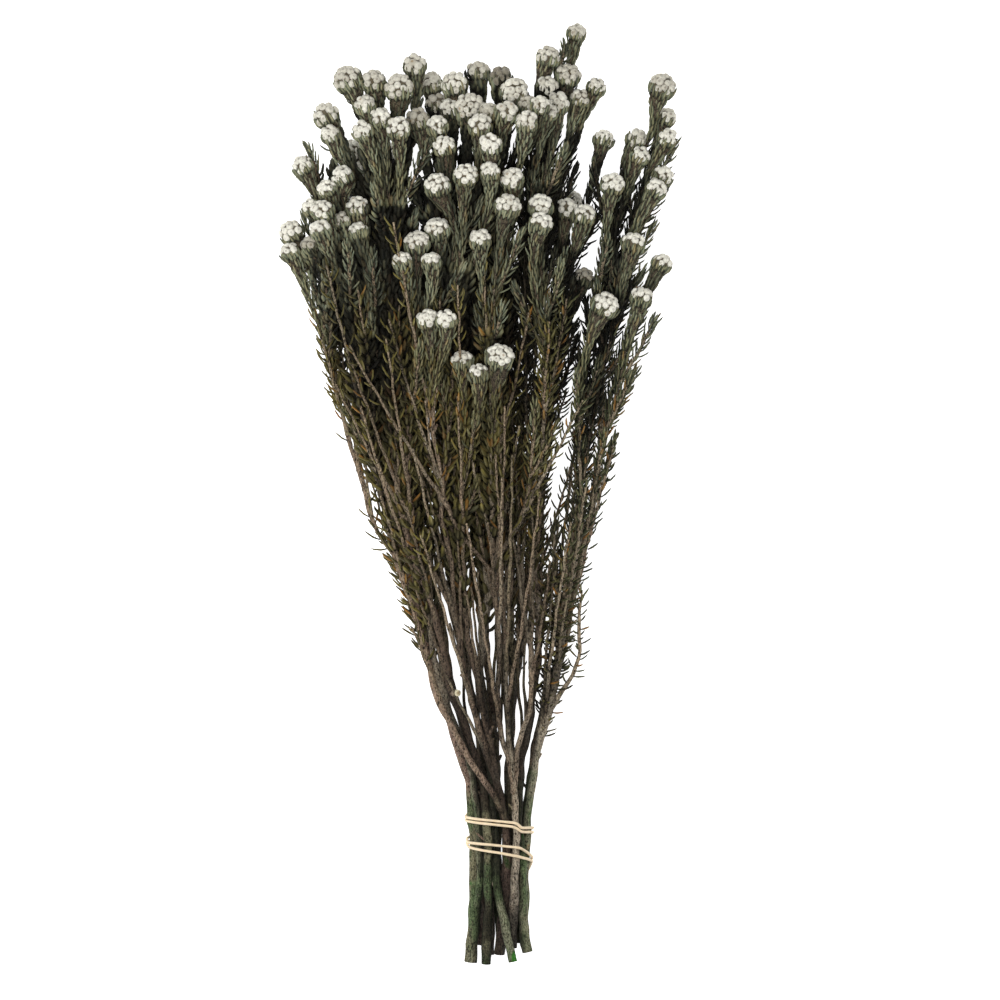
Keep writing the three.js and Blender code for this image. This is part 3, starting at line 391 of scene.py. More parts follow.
class Route(Line):
    """The centre line of a stem or shoot: points at its two ends and at each level in between."""

    def __init__(self, branch, parent, fork, radius, low, high, xz_at):
        self.branch, self.parent, self.fork, self.radius = branch, parent, fork, radius
        self.low, self.high, self.leafy, self.head = low, high, False, None
        lowest = math.ceil((low + END_MARGIN - LOWEST_LEVEL) / LEVEL)
        first = lowest if fork < 0 else fork + 1
        inner = np.arange(first, math.ceil((high - END_MARGIN - LOWEST_LEVEL) / LEVEL))
        self.levels = [fork, *inner.tolist(), -1]
        y = np.array([low, *level_y(inner), high], float)
        x, z = xz_at(y).T
        self.points = np.stack([x, y, z], 1)

    def at(self, y):
        """The line's points at each y."""
        y = np.clip(y, self.low, self.high)
        x, z = curve_at(self.points, y).T
        return np.stack([x, y, z], 1)

    def slope_at(self, y):
        """The line's direction at one y, as x, y and z for each mm of y."""
        step = END_MARGIN
        first = np.clip(y - step, self.low, self.high - step)
        last = np.clip(y + step, self.low + step, self.high)
        behind, ahead = self.at(np.array([first, last], float))
        return (ahead - behind) / (ahead[1] - behind[1])


class Head:
    """A head's place, direction and size."""

    def __init__(self, branch, group, centre, radius):
        self.branch, self.group, self.centre, self.radius = branch, group, centre, radius
        self.node = None


def spheres(heads):
    """The heads' centres and radii."""
    return np.array([head.centre for head in heads]), np.array([head.radius for head in heads])


def place_heads():
    """Heads where the plan has them. Those that would run into one another part in height, and the
    one in front stays in front. The frontmost are CAD nodes of their own."""
    heads = []
    for b, branch in enumerate(BRANCHES):
        for g, group in enumerate(branch.groups):
            rows = np.array(group.heads, float)
            height = group.height + HEAD_STAGGER * (rows[:, 1] - rows[:, 1].mean()) * SCALE
            centres = from_photo(np.stack([rows[:, 0], rows[:, 1], height], 1))
            for centre, width in zip(centres, rows[:, 2]):
                heads.append(Head(b, (b, g), centre, width * SCALE / 2))
    centres, radii = spheres(heads)
    need = radii[:, None] + radii + HEAD_GAP
    flat = np.hypot(*(centres[:, None, :2] - centres[None, :, :2]).transpose(2, 0, 1))
    near = (flat < need) & ~np.eye(len(heads), dtype=bool)
    reach = np.sqrt(np.maximum(need**2 - flat**2, 0))
    later = np.tri(len(heads), k=-1, dtype=bool)
    z = centres[:, 2]
    for _ in range(HEAD_ROUNDS):
        rise = z[:, None] - z
        lack = reach - np.abs(rise)
        way = np.where((rise > 0) | ((rise == 0) & later), HEAD_PUSH, -HEAD_PUSH)
        push = np.where(near & (lack > 0), lack * way, 0).sum(1)
        z = np.maximum(z + push, radii - TABLE_FLAT)
    for h, head in enumerate(heads):
        head.centre[2] = z[h]
        lean = [
            LEAN_ACROSS * head.centre[0] + LEAN_RANDOM * (draw(7 * h) - 0.5),
            1,
            LEAN_UP * (z[h] - LEAN_LEVEL) + LEAN_RANDOM * (draw(7 * h + 3) - 0.5),
        ]
        head.axis = unit(np.array(lean))
        head.foot = head.centre - HEAD_FOOT * head.radius * head.axis
    free = set(np.argsort(-z, kind="stable")[:FREE_HEADS].tolist())
    for n, h in enumerate(sorted(free)):
        heads[h].node = f"head_{n + 1:02d}"
    return heads


def shoot_to(routes, parent, fork, foot, axis):
    """A shoot that leaves its parent along it and arrives at its foot along the foot's axis."""
    thick = min(SHOOT_SHARE * parent.radius_at(level_y(fork)), SHOOT_THICKEST * SHOOT_RADIUS)
    root = parent.points[parent.levels.index(fork)]
    run = foot[1] - root[1]
    lean, tilt = parent.slope_at(root[1]), axis / axis[1]

    def xz_at(y):
        return hermite((y - root[1]) / run, root, foot, lean * run, tilt * run)

    route = Route(parent.branch, parent, fork, [thick, SHOOT_RADIUS], root[1], foot[1], xz_at)
    route.leafy = True
    routes.append(route)
    return route


def lay_out_ways(routes, b, branch):
    """The woody stretches of one branch."""
    ways = []
    for way in branch.ways:
        stations = from_photo(way.stations)
        high = stations[-1, 1]
        if way.on is None:
            top = max(TOP_SHARE * branch.thick, THINNEST_TOP)
            fork, parent, radius = -1, None, [branch.thick, top]
        else:
            parent = ways[way.on]
            wanted = math.floor((stations[0, 1] - SIDE_WAY_LEAD - LOWEST_LEVEL) / LEVEL + 0.5)
            fork = min(max(wanted, parent.levels[1] + 1), max(parent.levels))
            thick = min(SIDE_SHARE * parent.radius_at(level_y(fork)), THICKEST_SIDE)
            radius = [thick, max(SIDE_TAPER * thick, SHOOT_RADIUS)]
            stations = np.vstack([parent.points[parent.levels.index(fork)], stations])
        xz_at = partial(curve_at, stations)
        ways.append(Route(b, parent, fork, radius, stations[0, 1], high, xz_at))
        routes.append(ways[-1])
    return ways


def lay_out_routes(heads):
    """All centre lines: the plan's ways, then the shoots that lead from them to the heads."""
    routes = []
    for b, branch in enumerate(BRANCHES):
        ways = lay_out_ways(routes, b, branch)
        carried = [0] * len(ways)
        for g, group in enumerate(branch.groups):
            way = ways[group.way]
            leader_fork = way.levels.index(max(way.levels)) - GROUP_FORKS * carried[group.way]
            carried[group.way] += 1
            leader = None
            for h, head in enumerate(one for one in heads if one.group == (b, g)):
                long = FOLLOWER_SHORTEST + FOLLOWER_SPREAD * draw(53 * len(routes) + h)
                wanted = math.floor((head.foot[1] - long - LOWEST_LEVEL) / LEVEL)
                parent, fork = way, way.levels[max(leader_fork, 2)]
                if leader and wanted > leader.fork + 1 and wanted in leader.levels[1:]:
                    parent, fork = leader, wanted
                route = shoot_to(routes, parent, fork, head.foot, head.axis)
                route.head = head
                leader = leader or route
        for way, at in branch.tips:
            (foot,) = from_photo(at)
            axis = unit(np.array([TIP_LEAN * foot[0], 1, TIP_LEAN * (foot[2] - TIP_LEVEL)]))
            wanted = math.floor((foot[1] - TIP_LENGTH - LOWEST_LEVEL) / LEVEL)
            fork = min(max(wanted, ways[way].levels[1] + 1), max(ways[way].levels))
            shoot_to(routes, ways[way], fork, foot, axis)
    return routes


def parting_level(a, b):
    """How far up two routes of one branch part from one another."""

    def up_from(route):
        line, top = {}, math.inf
        while route is not None:
            line[id(route)] = top
            route, top = route.parent, route.fork
        return line

    left, right = up_from(a), up_from(b)
    return next((min(top, right[key]) for key, top in left.items() if key in right), -math.inf)


def bend_clear(routes, heads):
    """Stems that would run through one another, or through a head, are bent apart level by level,
    and their bends are evened along them. Each stem stays on its parent and on its head."""
    counts = np.array([len(route.points) for route in routes])
    first = np.cumsum(counts) - counts
    last = first + counts - 1
    points = np.concatenate([route.points for route in routes])
    level = np.concatenate([route.levels for route in routes])
    owner = np.repeat(np.arange(len(routes)), counts)
    inner = np.ones(len(points), bool)
    inner[first] = inner[last] = False
    inner = np.flatnonzero(inner)
    y = points[:, 1]
    soft = np.concatenate([STEM_SWELL * route.radius_at(route.points[:, 1]) for route in routes])
    soft += np.where(y < TIED_BELOW, TIED_GAP, STEM_GAP) / 2
    leafy = np.array([route.leafy for route in routes])[owner]
    tops = np.array([route.high for route in routes])[owner]
    soft += np.where(leafy, LEAF_ROOM * share(y, tops - LEAVES_FROM, LEAVES_RISE), 0)
    parting = np.full((len(routes), len(routes)), NOWHERE)
    for m, a in enumerate(routes):
        for n, b in enumerate(routes):
            if a.branch == b.branch and a is not b:
                parting[m, n] = max(parting_level(a, b), NOWHERE)
    one, two = np.nonzero(level[inner][:, None] == level[inner])
    one, two = inner[one], inner[two]
    parted = share(level[one], parting[owner[one], owner[two]], PARTING_LEVELS)
    keep = (parted > 0) & (one != two)
    one, two, parted = one[keep], two[keep], parted[keep]
    need = (soft[one] + soft[two]) * parted
    sway = np.where(owner[one] > owner[two], STEM_SWAY, -STEM_SWAY)
    centres, radii = spheres(heads)
    carrier = np.array([next(n for n, r in enumerate(routes) if r.head is h) for h in heads])
    past = np.abs(y[inner][:, None] - centres[:, 1])
    beside, disc = np.nonzero((past < radii + HEAD_NEAR) & (owner[inner][:, None] != carrier))
    rim = np.sqrt(np.maximum((radii[disc] + HEAD_ROOM) ** 2 - past[beside, disc] ** 2, 0))
    beside = inner[beside]
    room = rim + soft[beside]
    forked = np.array([n for n, route in enumerate(routes) if route.parent])
    rooted = np.array([n for n, route in enumerate(routes) if not route.parent])
    woody = np.array([n for n, route in enumerate(routes) if not route.leafy])
    number = {id(route): n for n, route in enumerate(routes)}
    lowest = soft - SINK - TABLE_FLAT - points[:, 2]
    shift = np.zeros((len(points), 2))

    def fork_at(route):
        return first[number[id(route.parent)]] + route.parent.levels.index(route.fork)

    def total(index, amounts):
        return np.bincount(index, amounts, len(points))

    source = np.array([fork_at(routes[n]) for n in forked])
    for _ in range(BEND_ROUNDS):
        place = points[:, [0, 2]] + shift
        dx, dz = (place[one] - place[two]).T
        lack = np.maximum(need - np.hypot(dx, dz), 0)
        side = np.where(dz == 0, sway, dz)
        force = STEM_PUSH * lack / np.hypot(STEM_ACROSS * dx, side)
        push_x, push_z = total(one, force * STEM_ACROSS * dx), total(one, force * side)
        dx, dz = (place[beside] - centres[disc][:, [0, 2]]).T
        lack = np.maximum(room - np.hypot(dx, dz), 0)
        side = np.where(np.abs(dz) < HEAD_BELOW, dz - HEAD_BELOW, dz)
        force = HEAD_PUSHES * lack / np.hypot(HEAD_ACROSS * dx, side)
        push_x += total(beside, force * HEAD_ACROSS * dx)
        push_z += total(beside, force * side)
        push = np.clip(np.stack([push_x, push_z], 1), -BEND_MOST, BEND_MOST)
        shift[inner] += push[inner]
        shift[inner, 1] = np.maximum(shift[inner, 1], lowest[inner])
        even = (shift[inner - 1] + shift[inner + 1]) / 2 - shift[inner]
        shift[inner] += EVENING * even
        shift[first[forked]] = shift[source]
        shift[first[rooted]] = shift[first[rooted] + 1]
        shift[last[woody]] = shift[last[woody] - 1]
    for route, start, count in zip(routes, first, counts):
        route.points[:, [0, 2]] += shift[start : start + count]


def draw_in(routes):
    """The wood slims by one share. From DRAW_FREE down to DRAW_TIED it draws in by the same share,
    x to DRAW_MIDDLE and z to the table, and below SPREAD_FROM its x parts again a little."""
    for route in routes:
        route.radius = [SLIMMER * radius for radius in route.radius]
        x, y = route.points[:, 0], route.points[:, 1]
        t = share(y, DRAW_FREE, DRAW_TIED - DRAW_FREE)
        drawn = 1 - (1 - SLIMMER) * t * t * (3 - 2 * t)
        apart = PARTED * share(y, SPREAD_FROM, SPREAD_ENDS - SPREAD_FROM)
        route.points[:, 0] = DRAW_MIDDLE + (x - DRAW_MIDDLE) * (drawn + apart)
        route.points[:, 2] *= drawn


@lru_cache
def layout():
    """The heads and the routes of the whole bunch, bent clear of one another."""
    heads = place_heads()
    routes = lay_out_routes(heads)
    bend_clear(routes, heads)
    draw_in(routes)
    return heads, routes


class Sprig(Line):
    """A leafy side sprig or a bare twig that leaves its parent at a lean which halves towards its
    tip: at a run u of its length L along y, x and z are its foot's, plus
    slope u + lean (u - u^2 / 4L)."""

    head, fork = None, 0

    def __init__(self, parent, low, length, lean, leafy, radius):
        self.branch, self.parent, self.leafy, self.radius = parent.branch, parent, leafy, radius
        self.low, self.high = low, low + length
        self.foot, self.slope = parent.at(np.array([low]))[0], parent.slope_at(low)
        self.lean = np.array([lean[0], 0, lean[1]])

    def at(self, y):
        run = (np.clip(y, self.low, self.high) - self.low)[:, None]
        long = self.high - self.low
        return self.foot + self.slope * run + self.lean * (run - run**2 / (4 * long))


def best_sprig(parent, low, long, leans, leafy, radius, filled, heads, rng):
    """Of SPRIG_TRIES side shoots with a random direction, the one that keeps clearest of the lines
    and heads already there. Gives nothing if even that one is crowded or leaves the bunch."""
    best, best_room = None, SPRIG_ROOM
    for _ in range(SPRIG_TRIES):
        turn, size = rng.uniform(0, 2 * math.pi), rng.uniform(*leans)
        lean = (size * math.cos(turn), size * math.sin(turn))
        sprig = Sprig(parent, low, long, lean, leafy, radius)
        line = sprig.at(low + long * np.array(SPRIG_SHARES))
        room = np.linalg.norm(line[:, None] - filled, axis=2).min()
        for_heads = np.linalg.norm(line[:, None] - heads[:, :3], axis=2) - heads[:, 3]
        room = min(room, for_heads.min() - SPRIG_OFF, line[:, 2].min() - SPRIG_OFF)
        wide = np.interp(line[-1, 1], *SPREAD)
        if room > best_room and abs(line[-1, 0] - SPREAD_MIDDLE) < wide:
            best, best_room = sprig, room
    return best


def fill_gaps(routes, sprigs, filled, balls, rng):
    """Thin twigs low in the left of the bunch, each led where the plan view is emptiest: the one
    kept is that whose line has, on average, most room beside it in plan, up to FILLER_FAR."""
    lines = [line for line in routes if not line.leafy or line.head]
    for _ in range(FILLERS):
        low, best, best_gap = rng.uniform(*FILLER_Y), None, FILLER_GAP
        points = np.vstack(filled)
        points = points[(points[:, 1] > low) & (points[:, 1] < low + FILLER_LONG[1])]
        reaching = [one for one in lines if one.low + FILLER_END < low < one.high - FILLER_END]
        for _ in range(2 * SPRIG_TRIES if reaching else 0):
            parent = reaching[rng.integers(len(reaching))]
            long, turn = rng.uniform(*FILLER_LONG), rng.uniform(0, 2 * math.pi)
            lean = rng.uniform(*FILLER_LEAN) * np.array([math.cos(turn), math.sin(turn)])
            twig = Sprig(parent, low, long, lean, False, FILLER_RADII)
            line = twig.at(low + long * np.array(FILLER_SHARES))
            level = np.abs(line[:, None, 1] - points[:, 1]) < FILLER_LEVEL
            beside = np.abs(line[:, None, 0] - points[:, 0])
            beside = np.where(level, beside, FILLER_FAR)
            gap = np.minimum(beside.min(1), FILLER_FAR).mean()
            apart = np.linalg.norm(line[:, None] - points, axis=2).min()
            rims = np.linalg.norm(line[:, None] - balls[:, :3], axis=2) - balls[:, 3]
            apart = min(apart, rims.min())
            wide = np.interp(line[-1, 1], *SPREAD) - FILLER_INSIDE
            inside = line[:, 0].max() < FILLER_RIGHT and abs(line[-1, 0] - SPREAD_MIDDLE) < wide
            clear = apart > FILLER_ROOM and line[:, 2].min() > SPRIG_OFF
            if gap > best_gap and inside and clear:
                best, best_gap = twig, gap
        if best:
            sprigs.append(best)
            filled.append(best.dots(FILLER_START))


@lru_cache
def side_shoots():
    """Leafy sprigs on the shoots, and thin bare twigs on the ways, where there is room for them."""
    heads, routes = layout()
    rng = np.random.default_rng(SPRIG_SEED)
    balls = np.array([[*head.centre, head.radius] for head in heads])
    filled = [route.dots() for route in routes]
    sprigs = []
    for route in routes:
        if route.leafy:
            places = route.high - rng.uniform(*SPRIG_BELOW, SPRIGS_A_SHOOT)
            kind = (SPRIG_LEAN, True, SPRIG_RADII)
        else:
            count = round((route.high - route.low) / TWIG_EVERY)
            room = max(route.high - route.low - TWIG_ENDS, 1)
            places = route.low + TWIG_FROM + rng.uniform(0, room, count)
            kind = (TWIG_LEAN, False, TWIG_RADII)
        for place in places:
            long = rng.uniform(*(SPRIG_LENGTH if route.leafy else TWIG_LENGTH))
            lowest = max(route.low + PARENT_END, TWIG_LOWEST)
            if not lowest <= place <= route.high - PARENT_END or place + long > SPRIG_HIGHEST:
                continue
            sprig = best_sprig(route, place, long, *kind, np.vstack(filled), balls, rng)
            if sprig:
                sprigs.append(sprig)
                filled.append(sprig.dots(SPRIG_START))
    fill_gaps(routes, sprigs, filled, balls, rng)
    return sprigs


@lru_cache
def cover():
    """How far the lines and heads reach over square cells: up over (x, y), and right and left over
    (z, y). A cell takes the farthest of itself and its neighbours. Gives the cells' lowest corner
    and the three grids."""
    heads, routes = layout()
    lines = [line.dots(step=COVER_STEP) for line in routes + side_shoots()]
    points = np.vstack([*lines, [head.centre for head in heads]])
    corner = points.min(0) - COVER_MARGIN * COVER_CELL
    cell = ((points - corner) / COVER_CELL).astype(int)
    size = cell.max(0) + 2 * COVER_MARGIN
    grids = []
    for column, reach in ((0, points[:, 2]), (2, points[:, 0]), (2, -points[:, 0])):
        grid = np.full((size[column], size[1]), NOWHERE)
        np.maximum.at(grid, (cell[:, column], cell[:, 1]), reach)
        for axis in (0, 1):
            grid = np.max([np.roll(grid, step, axis) for step in (-1, 0, 1)], 0)
        grids.append(grid)
    return corner, grids


def depth(points):
    """How deep in the bunch each point lies: 0 near its top and its sides, and 1 a quarter of the
    way down from its top. At its bottom it is at most a half."""
    corner, (over, right, left) = cover()
    size = np.array([over.shape[0], over.shape[1], right.shape[0]])
    cell = np.clip(((points - corner) / COVER_CELL).astype(int), 0, size - 1)
    x, z = points[:, 0], points[:, 2]
    top = np.maximum(over[cell[:, 0], cell[:, 1]], 0) + COVER_ABOVE
    down = np.clip((TOP_LIT * top - z) / (TOP_DARK * top), 0, 1)
    to_right, to_left = right[cell[:, 2], cell[:, 1]] - x, left[cell[:, 2], cell[:, 1]] + x
    lit = np.clip(EDGE_SHARE * (to_right + to_left), 1, EDGE_LIT)
    aside = np.clip(np.minimum(to_right, to_left) / lit, 0, 1)
    bottom = 1 - 0.5 * fade(z, BOTTOM_SHARE * top)
    return down * aside * bottom


def shade_at_random(route):
    """How much painted shade a shoot or stem gets at random, to set it off from its neighbours: 0 for
    half of them, and up to DIM_MOST."""
    return DIM_MOST * max(0.0, 2 * draw(1.37 * route.low + route.high) - 1)


class Surface:
    """The vertices and triangles of one piece, gathered from its parts, with named numbers at the
    vertices for its material to read."""

    def __init__(self, *marks):
        self.vertices, self.triangles, self.marks = [], [], {mark: [] for mark in marks}
        self.count = 0

    def add(self, vertices, triangles, **given):
        """Takes vertices (n, 3) in mm, triangles (m, 3) counted from 0, and for each mark one
        number for all vertices or one for each. A mark that isn't given is 0. No vertex stays
        lower than LOWEST."""
        self.vertices.append(np.maximum(vertices, [-np.inf, -np.inf, LOWEST]))
        self.triangles.append(triangles + self.count)
        self.count += len(vertices)
        for mark, values in self.marks.items():
            values.append(np.broadcast_to(given.get(mark, 0.0), len(vertices)))

    def piece(self, name, material, slot, nodes):
        """Makes the mesh object, which rides on the one body and stands for its CAD nodes."""
        triangles = np.concatenate(self.triangles).astype(np.int32)
        places = (np.concatenate(self.vertices) * MM).astype(np.float32)
        mesh = bpy.data.meshes.new(name)
        mesh.vertices.add(len(places))
        mesh.vertices.foreach_set("co", places.ravel())
        mesh.loops.add(triangles.size)
        mesh.loops.foreach_set("vertex_index", triangles.ravel())
        mesh.polygons.add(len(triangles))
        mesh.polygons.foreach_set("loop_start", np.arange(0, triangles.size, 3, dtype=np.int32))
        mesh.polygons.foreach_set("use_smooth", np.ones(len(triangles), bool))
        for mark, values in self.marks.items():
            attribute = mesh.attributes.new(mark, "FLOAT", "POINT")
            attribute.data.foreach_set("value", np.concatenate(values).astype(np.float32))
        mesh.update(calc_edges=True)
        mesh.materials.append(material)
        thing = bpy.data.objects.new(name, mesh)
        bpy.context.scene.collection.objects.link(thing)
        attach(thing, "root")
        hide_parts(*nodes)


def wall(rows, sides, closed=False):
    """The triangles of a wall of rings: two in each cell between neighbouring points and rings."""
    i, j = np.meshgrid(np.arange(rows if closed else rows - 1), np.arange(sides), indexing="ij")
    up, k = (i + 1) % rows, (j + 1) % sides
    low, low_next, high, high_next = i * sides + j, i * sides + k, up * sides + j, up * sides + k
    cells = [np.stack([low, low_next, high_next], -1), np.stack([low, high_next, high], -1)]
    return np.concatenate([cell.reshape(-1, 3) for cell in cells])


def fan(pole, ring, forwards):
    """The triangles between one point and a ring, facing along the tube or back."""
    following = np.roll(ring, -1)
    pair = (ring, following) if forwards else (following, ring)
    return np.stack([np.full(len(ring), pole), *pair], -1)


def capped(rows, sides):
    """The triangles of a wall of rings with a pole at each end. The poles come after the rings."""
    ring, count = np.arange(sides), rows * sides
    ends = [fan(count, ring, False), fan(count + 1, ring + count - sides, True)]
    return np.concatenate([wall(rows, sides), *ends])


def repeat(vertices, triangles):
    """Copies of one shape: vertices (n, v, 3) as one list, and the triangles of every copy."""
    n, v, _ = vertices.shape
    offsets = (np.arange(n) * v)[:, None, None]
    return vertices.reshape(-1, 3), (triangles + offsets).reshape(-1, 3)


def frame_along(centres, aside, closed=False):
    """Directions at each point of a line: along it, across it near `aside`, and square to both."""
    if closed:
        along = unit(np.roll(centres, -1, 0) - np.roll(centres, 1, 0))
    else:
        along = unit(np.gradient(centres, axis=0))
    across = unit(aside - along * np.sum(along * aside, -1, keepdims=True))
    return along, across, np.cross(along, across)


def tube(centres, radii, aside, closed=False):
    """A tube along a line: the point at row i and turn a is
    centre_i + radius_ia (cos a across_i + sin a up_i). An open tube gets a pole at each end."""
    rows, sides = radii.shape
    along, across, up = frame_along(centres, aside, closed)
    spoke = spokes(even_turns(sides), across[:, None], up[:, None])
    vertices = (centres[:, None] + radii[..., None] * spoke).reshape(-1, 3)
    if closed:
        return vertices, wall(rows, sides, True)
    ends = np.stack([centres[0] - 0.1 * along[0], centres[-1] + 0.1 * along[-1]])
    return np.vstack([vertices, ends]), capped(rows, sides)


WOOD_STEP = 2.6
WOOD_SIDES = 10
SHOOT_STEP = 3.4
SHOOT_SIDES = 7
SCAR_STEP = 5.5  # along a stem, from one old leaf base to the next
SCAR_LENGTH, SCAR_WIDTH = 1.5, 0.55
SLIM_SCAR, THICK_SCAR = 0.14, 0.5  # how high scars stand on shoots and on stems
KNOT_LENGTH, KNOT_HEIGHT = 4.5, 0.16  # in mm, and as a share of the stem's radius
PARTED_AT = 0.9  # of the thicker one's radius, how far apart two stems have parted
YOUNG_WOOD, OLD_WOOD = 0.6, 3.0  # the radii at which wood looks wholly young and old
WOOD_SHOWN = (400, 500, 640, 740), (1, 0.6, 0.66, 1.25)  # rows, and the share of its depth shown as painted shade
DYED_SHARE = 0.6  # of the branches take up the dye
WAY_TAPER = 16  # over which the top of a way thins out
SHOOT_FOOT, TWIG_FOOT = 45, 9  # over which the foot of a shoot or a twig is thicker
SLIM_RADIUS, TWIG_FLARE = 1.0, 0.5  # a shoot's radius, and how much thicker a twig's foot is
POINTED = 0.6, 14  # the radius of a tip with no head, and the mm over which it is reached
FUNNEL = 25  # over which a shoot widens up to its head
FUNNEL_SHARE = 0.74  # of the head's radius, where the shoot meets it
SWAY, SWAY_FREE = 0.32, 12  # how far a stem's line wanders, and how far from its ends
LEAF_SHADE, SHADE_MOST = 60, 0.85  # how far below a head the shoot gets painted shade from its leaves, and how much
DIM_FROM, DIM_RUN = -60, 60  # the y above which some stems get painted shade at random


def scars(below, turns, height, rng):
    """Old leaf bases on a stem, on a golden-angle spiral. Each is a bump: height times a bell curve
    of how far it is along the stem, times one of how far it is round it."""
    spots = np.arange(2, below[-1] - 2, SCAR_STEP)
    spots = spots + rng.uniform(-1.5, 1.5, len(spots))
    bearing = np.arange(len(spots)) * GOLDEN_TURN + rng.uniform(0, 6)
    tall = height * rng.uniform(0.3, 1, len(spots))
    near = tall * np.exp(-(((below[:, None] - spots) / SCAR_LENGTH) ** 2))
    aside = (turns[None, :] - bearing[:, None] + math.pi) % (2 * math.pi) - math.pi
    return near @ np.exp(-((aside / SCAR_WIDTH) ** 2))


def crotch_y(route):
    """The y at which a route's wood has parted from its parent's."""
    y = np.linspace(route.low, min(route.high, route.parent.high), 60)
    apart = np.linalg.norm(route.at(y) - route.parent.at(y), axis=1)
    clear = apart > PARTED_AT * np.maximum(route.radius_at(y), route.parent.radius_at(y))
    return y[np.argmax(clear)] if clear.any() else y[-1]


def wood_radius(route, y):
    """A stem's own radius at each y before its bark is shaped. A shoot is slim between its foot
    and its head, and it widens to the head by a power of how near it is."""
    if route.leafy:
        tip, reach = (FUNNEL_SHARE * route.head.radius, FUNNEL) if route.head else POINTED
        near = fade(route.high - y, reach) ** 1.5
        foot = fade(y - route.low, SHOOT_FOOT)
        slim = SLIM_RADIUS + (route.radius[0] - SLIM_RADIUS) * foot
        return slim * (1 - near) + tip * near
    radius = route.radius_at(y)
    if isinstance(route, Sprig):
        radius = radius * (1 + TWIG_FLARE * fade(y - route.low, TWIG_FOOT))
    elif route.fork >= 0 or route.high - y[-1] < 1:
        thin = share(route.high - y, 0, WAY_TAPER)
        radius = radius * (0.55 + 0.45 * thin**0.7)
    return radius


def stem(surface, route, forks, tone, dye, rng):
    """One woody line: a tube whose radius at s along it and turn a is r (1 + 0.05 sin(3a + s/9 + p)
    + 0.05 sin(2a - s/14 + q) + 0.045 sin(s/5.3 + 3q)) + scars + knots at its forks."""
    step, sides = (SHOOT_STEP, SHOOT_SIDES) if route.leafy else (WOOD_STEP, WOOD_SIDES)
    y = np.linspace(route.low, route.high, max(4, round((route.high - route.low) / step)))
    centres = route.at(y)
    s, turns = length_along(centres), even_turns(sides)
    p, q = rng.uniform(0, 6, 2)
    held = share(np.minimum(y - route.low, route.high - y), 0, SWAY_FREE) * SWAY
    centres[:, 0] += held * (np.sin(s / 6.3 + p) + 0.6 * np.sin(s / 2.9 + q))
    centres[:, 2] += held * np.sin(s / 7.1 + q)
    radius = wood_radius(route, y)[:, None]
    wave = 0.05 * np.sin(3 * turns + s[:, None] / 9 + p)
    wave = wave + 0.05 * np.sin(2 * turns - s[:, None] / 14 + q)
    wave = wave + 0.045 * np.sin(s[:, None] / 5.3 + 3 * q)
    radii = radius * (1 + wave)
    slim = isinstance(route, Sprig) or route.leafy
    radii = radii + scars(s, turns, SLIM_SCAR if slim else THICK_SCAR, rng)
    for fork in forks:
        radii = radii + KNOT_HEIGHT * radius * np.exp(-(((y[:, None] - fork) / KNOT_LENGTH) ** 2))
    vertices, triangles = tube(centres, radii, np.array([1.0, 0, 0]))
    young = np.ones(len(y))
    if not route.leafy:
        young = share(OLD_WOOD - radius[:, 0], 0, OLD_WOOD - YOUNG_WOOD)
    marks = np.concatenate([np.repeat(young, sides), young[[0, -1]]])
    cut = np.zeros(len(vertices))
    if route.fork < 0:
        cut[-2] = 1
    vertices[:, 2] = np.maximum(vertices[:, 2], LOWEST)
    # Painted shade: wood deep in the bunch is darker, by an amount that changes with the pixel row; a
    # shoot is darker under the leaves below its head, and some stems at random
    shown = np.interp(down_pixel(vertices[:, 1]), *WOOD_SHOWN)
    deep = np.minimum(depth(vertices) * shown, 1)
    if route.head:
        shade = SHADE_MOST * np.clip(1.5 - (route.high - y) / LEAF_SHADE, 0, 1)
        deep = np.maximum(deep, np.concatenate([np.repeat(shade, sides), shade[[0, -1]]]))
    dim = DIM_MOST * shade_at_random(route) * share(vertices[:, 1], DIM_FROM, DIM_RUN)
    deep = np.maximum(deep, dim)
    surface.add(vertices, triangles, young=marks, cut=cut, tone=tone, dye=dye, deep=deep)


SAWN_BRANCH = 2  # the branch that carries the sawn twig
SAWN_AT, SAWN_RADIUS, SAWN_LONG = (458, 693), 2.0, 7.5  # its pixel, and its size in mm
SAWN_NEAR = 3.5
SAWN_SIDES = 12
SAWN_RINGS, SAWN_WIDTHS = (0, 0.5, 0.96, 1), (1.15, 1.0, 1.04, 0.96)


def sawn_twig(surface, routes):
    """The stump of a side twig that was sawn off and faces up out of the topmost stem below it."""
    ((x, y, _),) = from_photo([*SAWN_AT, 0])
    near = [route.at(np.array([y]))[0] for route in routes if route.low < y < route.high]
    near = [point for point in near if abs(point[0] - x) < SAWN_NEAR]
    foot = max(near, key=lambda point: point[2])
    t = np.array(SAWN_RINGS)[:, None]
    line = foot + t * (np.array([x, y, foot[2] + SAWN_LONG]) - foot)
    radii = SAWN_RADIUS * np.array(SAWN_WIDTHS)[:, None] * np.ones(SAWN_SIDES)
    vertices, triangles = tube(line, radii, np.array([1.0, 0, 0]))
    cut = np.concatenate([np.repeat([0, 0, 2.0, 2.0], SAWN_SIDES), [0, 0.6]])
    surface.add(vertices, triangles, young=0.2, cut=cut, tone=0.3)


STUB_FROM, STUB_ENDS, STUB_ROOM, STUB_EVERY = 40, 60, 20, 42  # where on a stem stubs stand
STUB_LEAN, STUB_LONG, STUB_THICK = (0.5, 1.1), (1.5, 7), (0.6, 1.05)
STUB_RINGS, STUB_SIDES, STUB_CURL = (0, 0.45, 0.85, 1), 6, 0.18


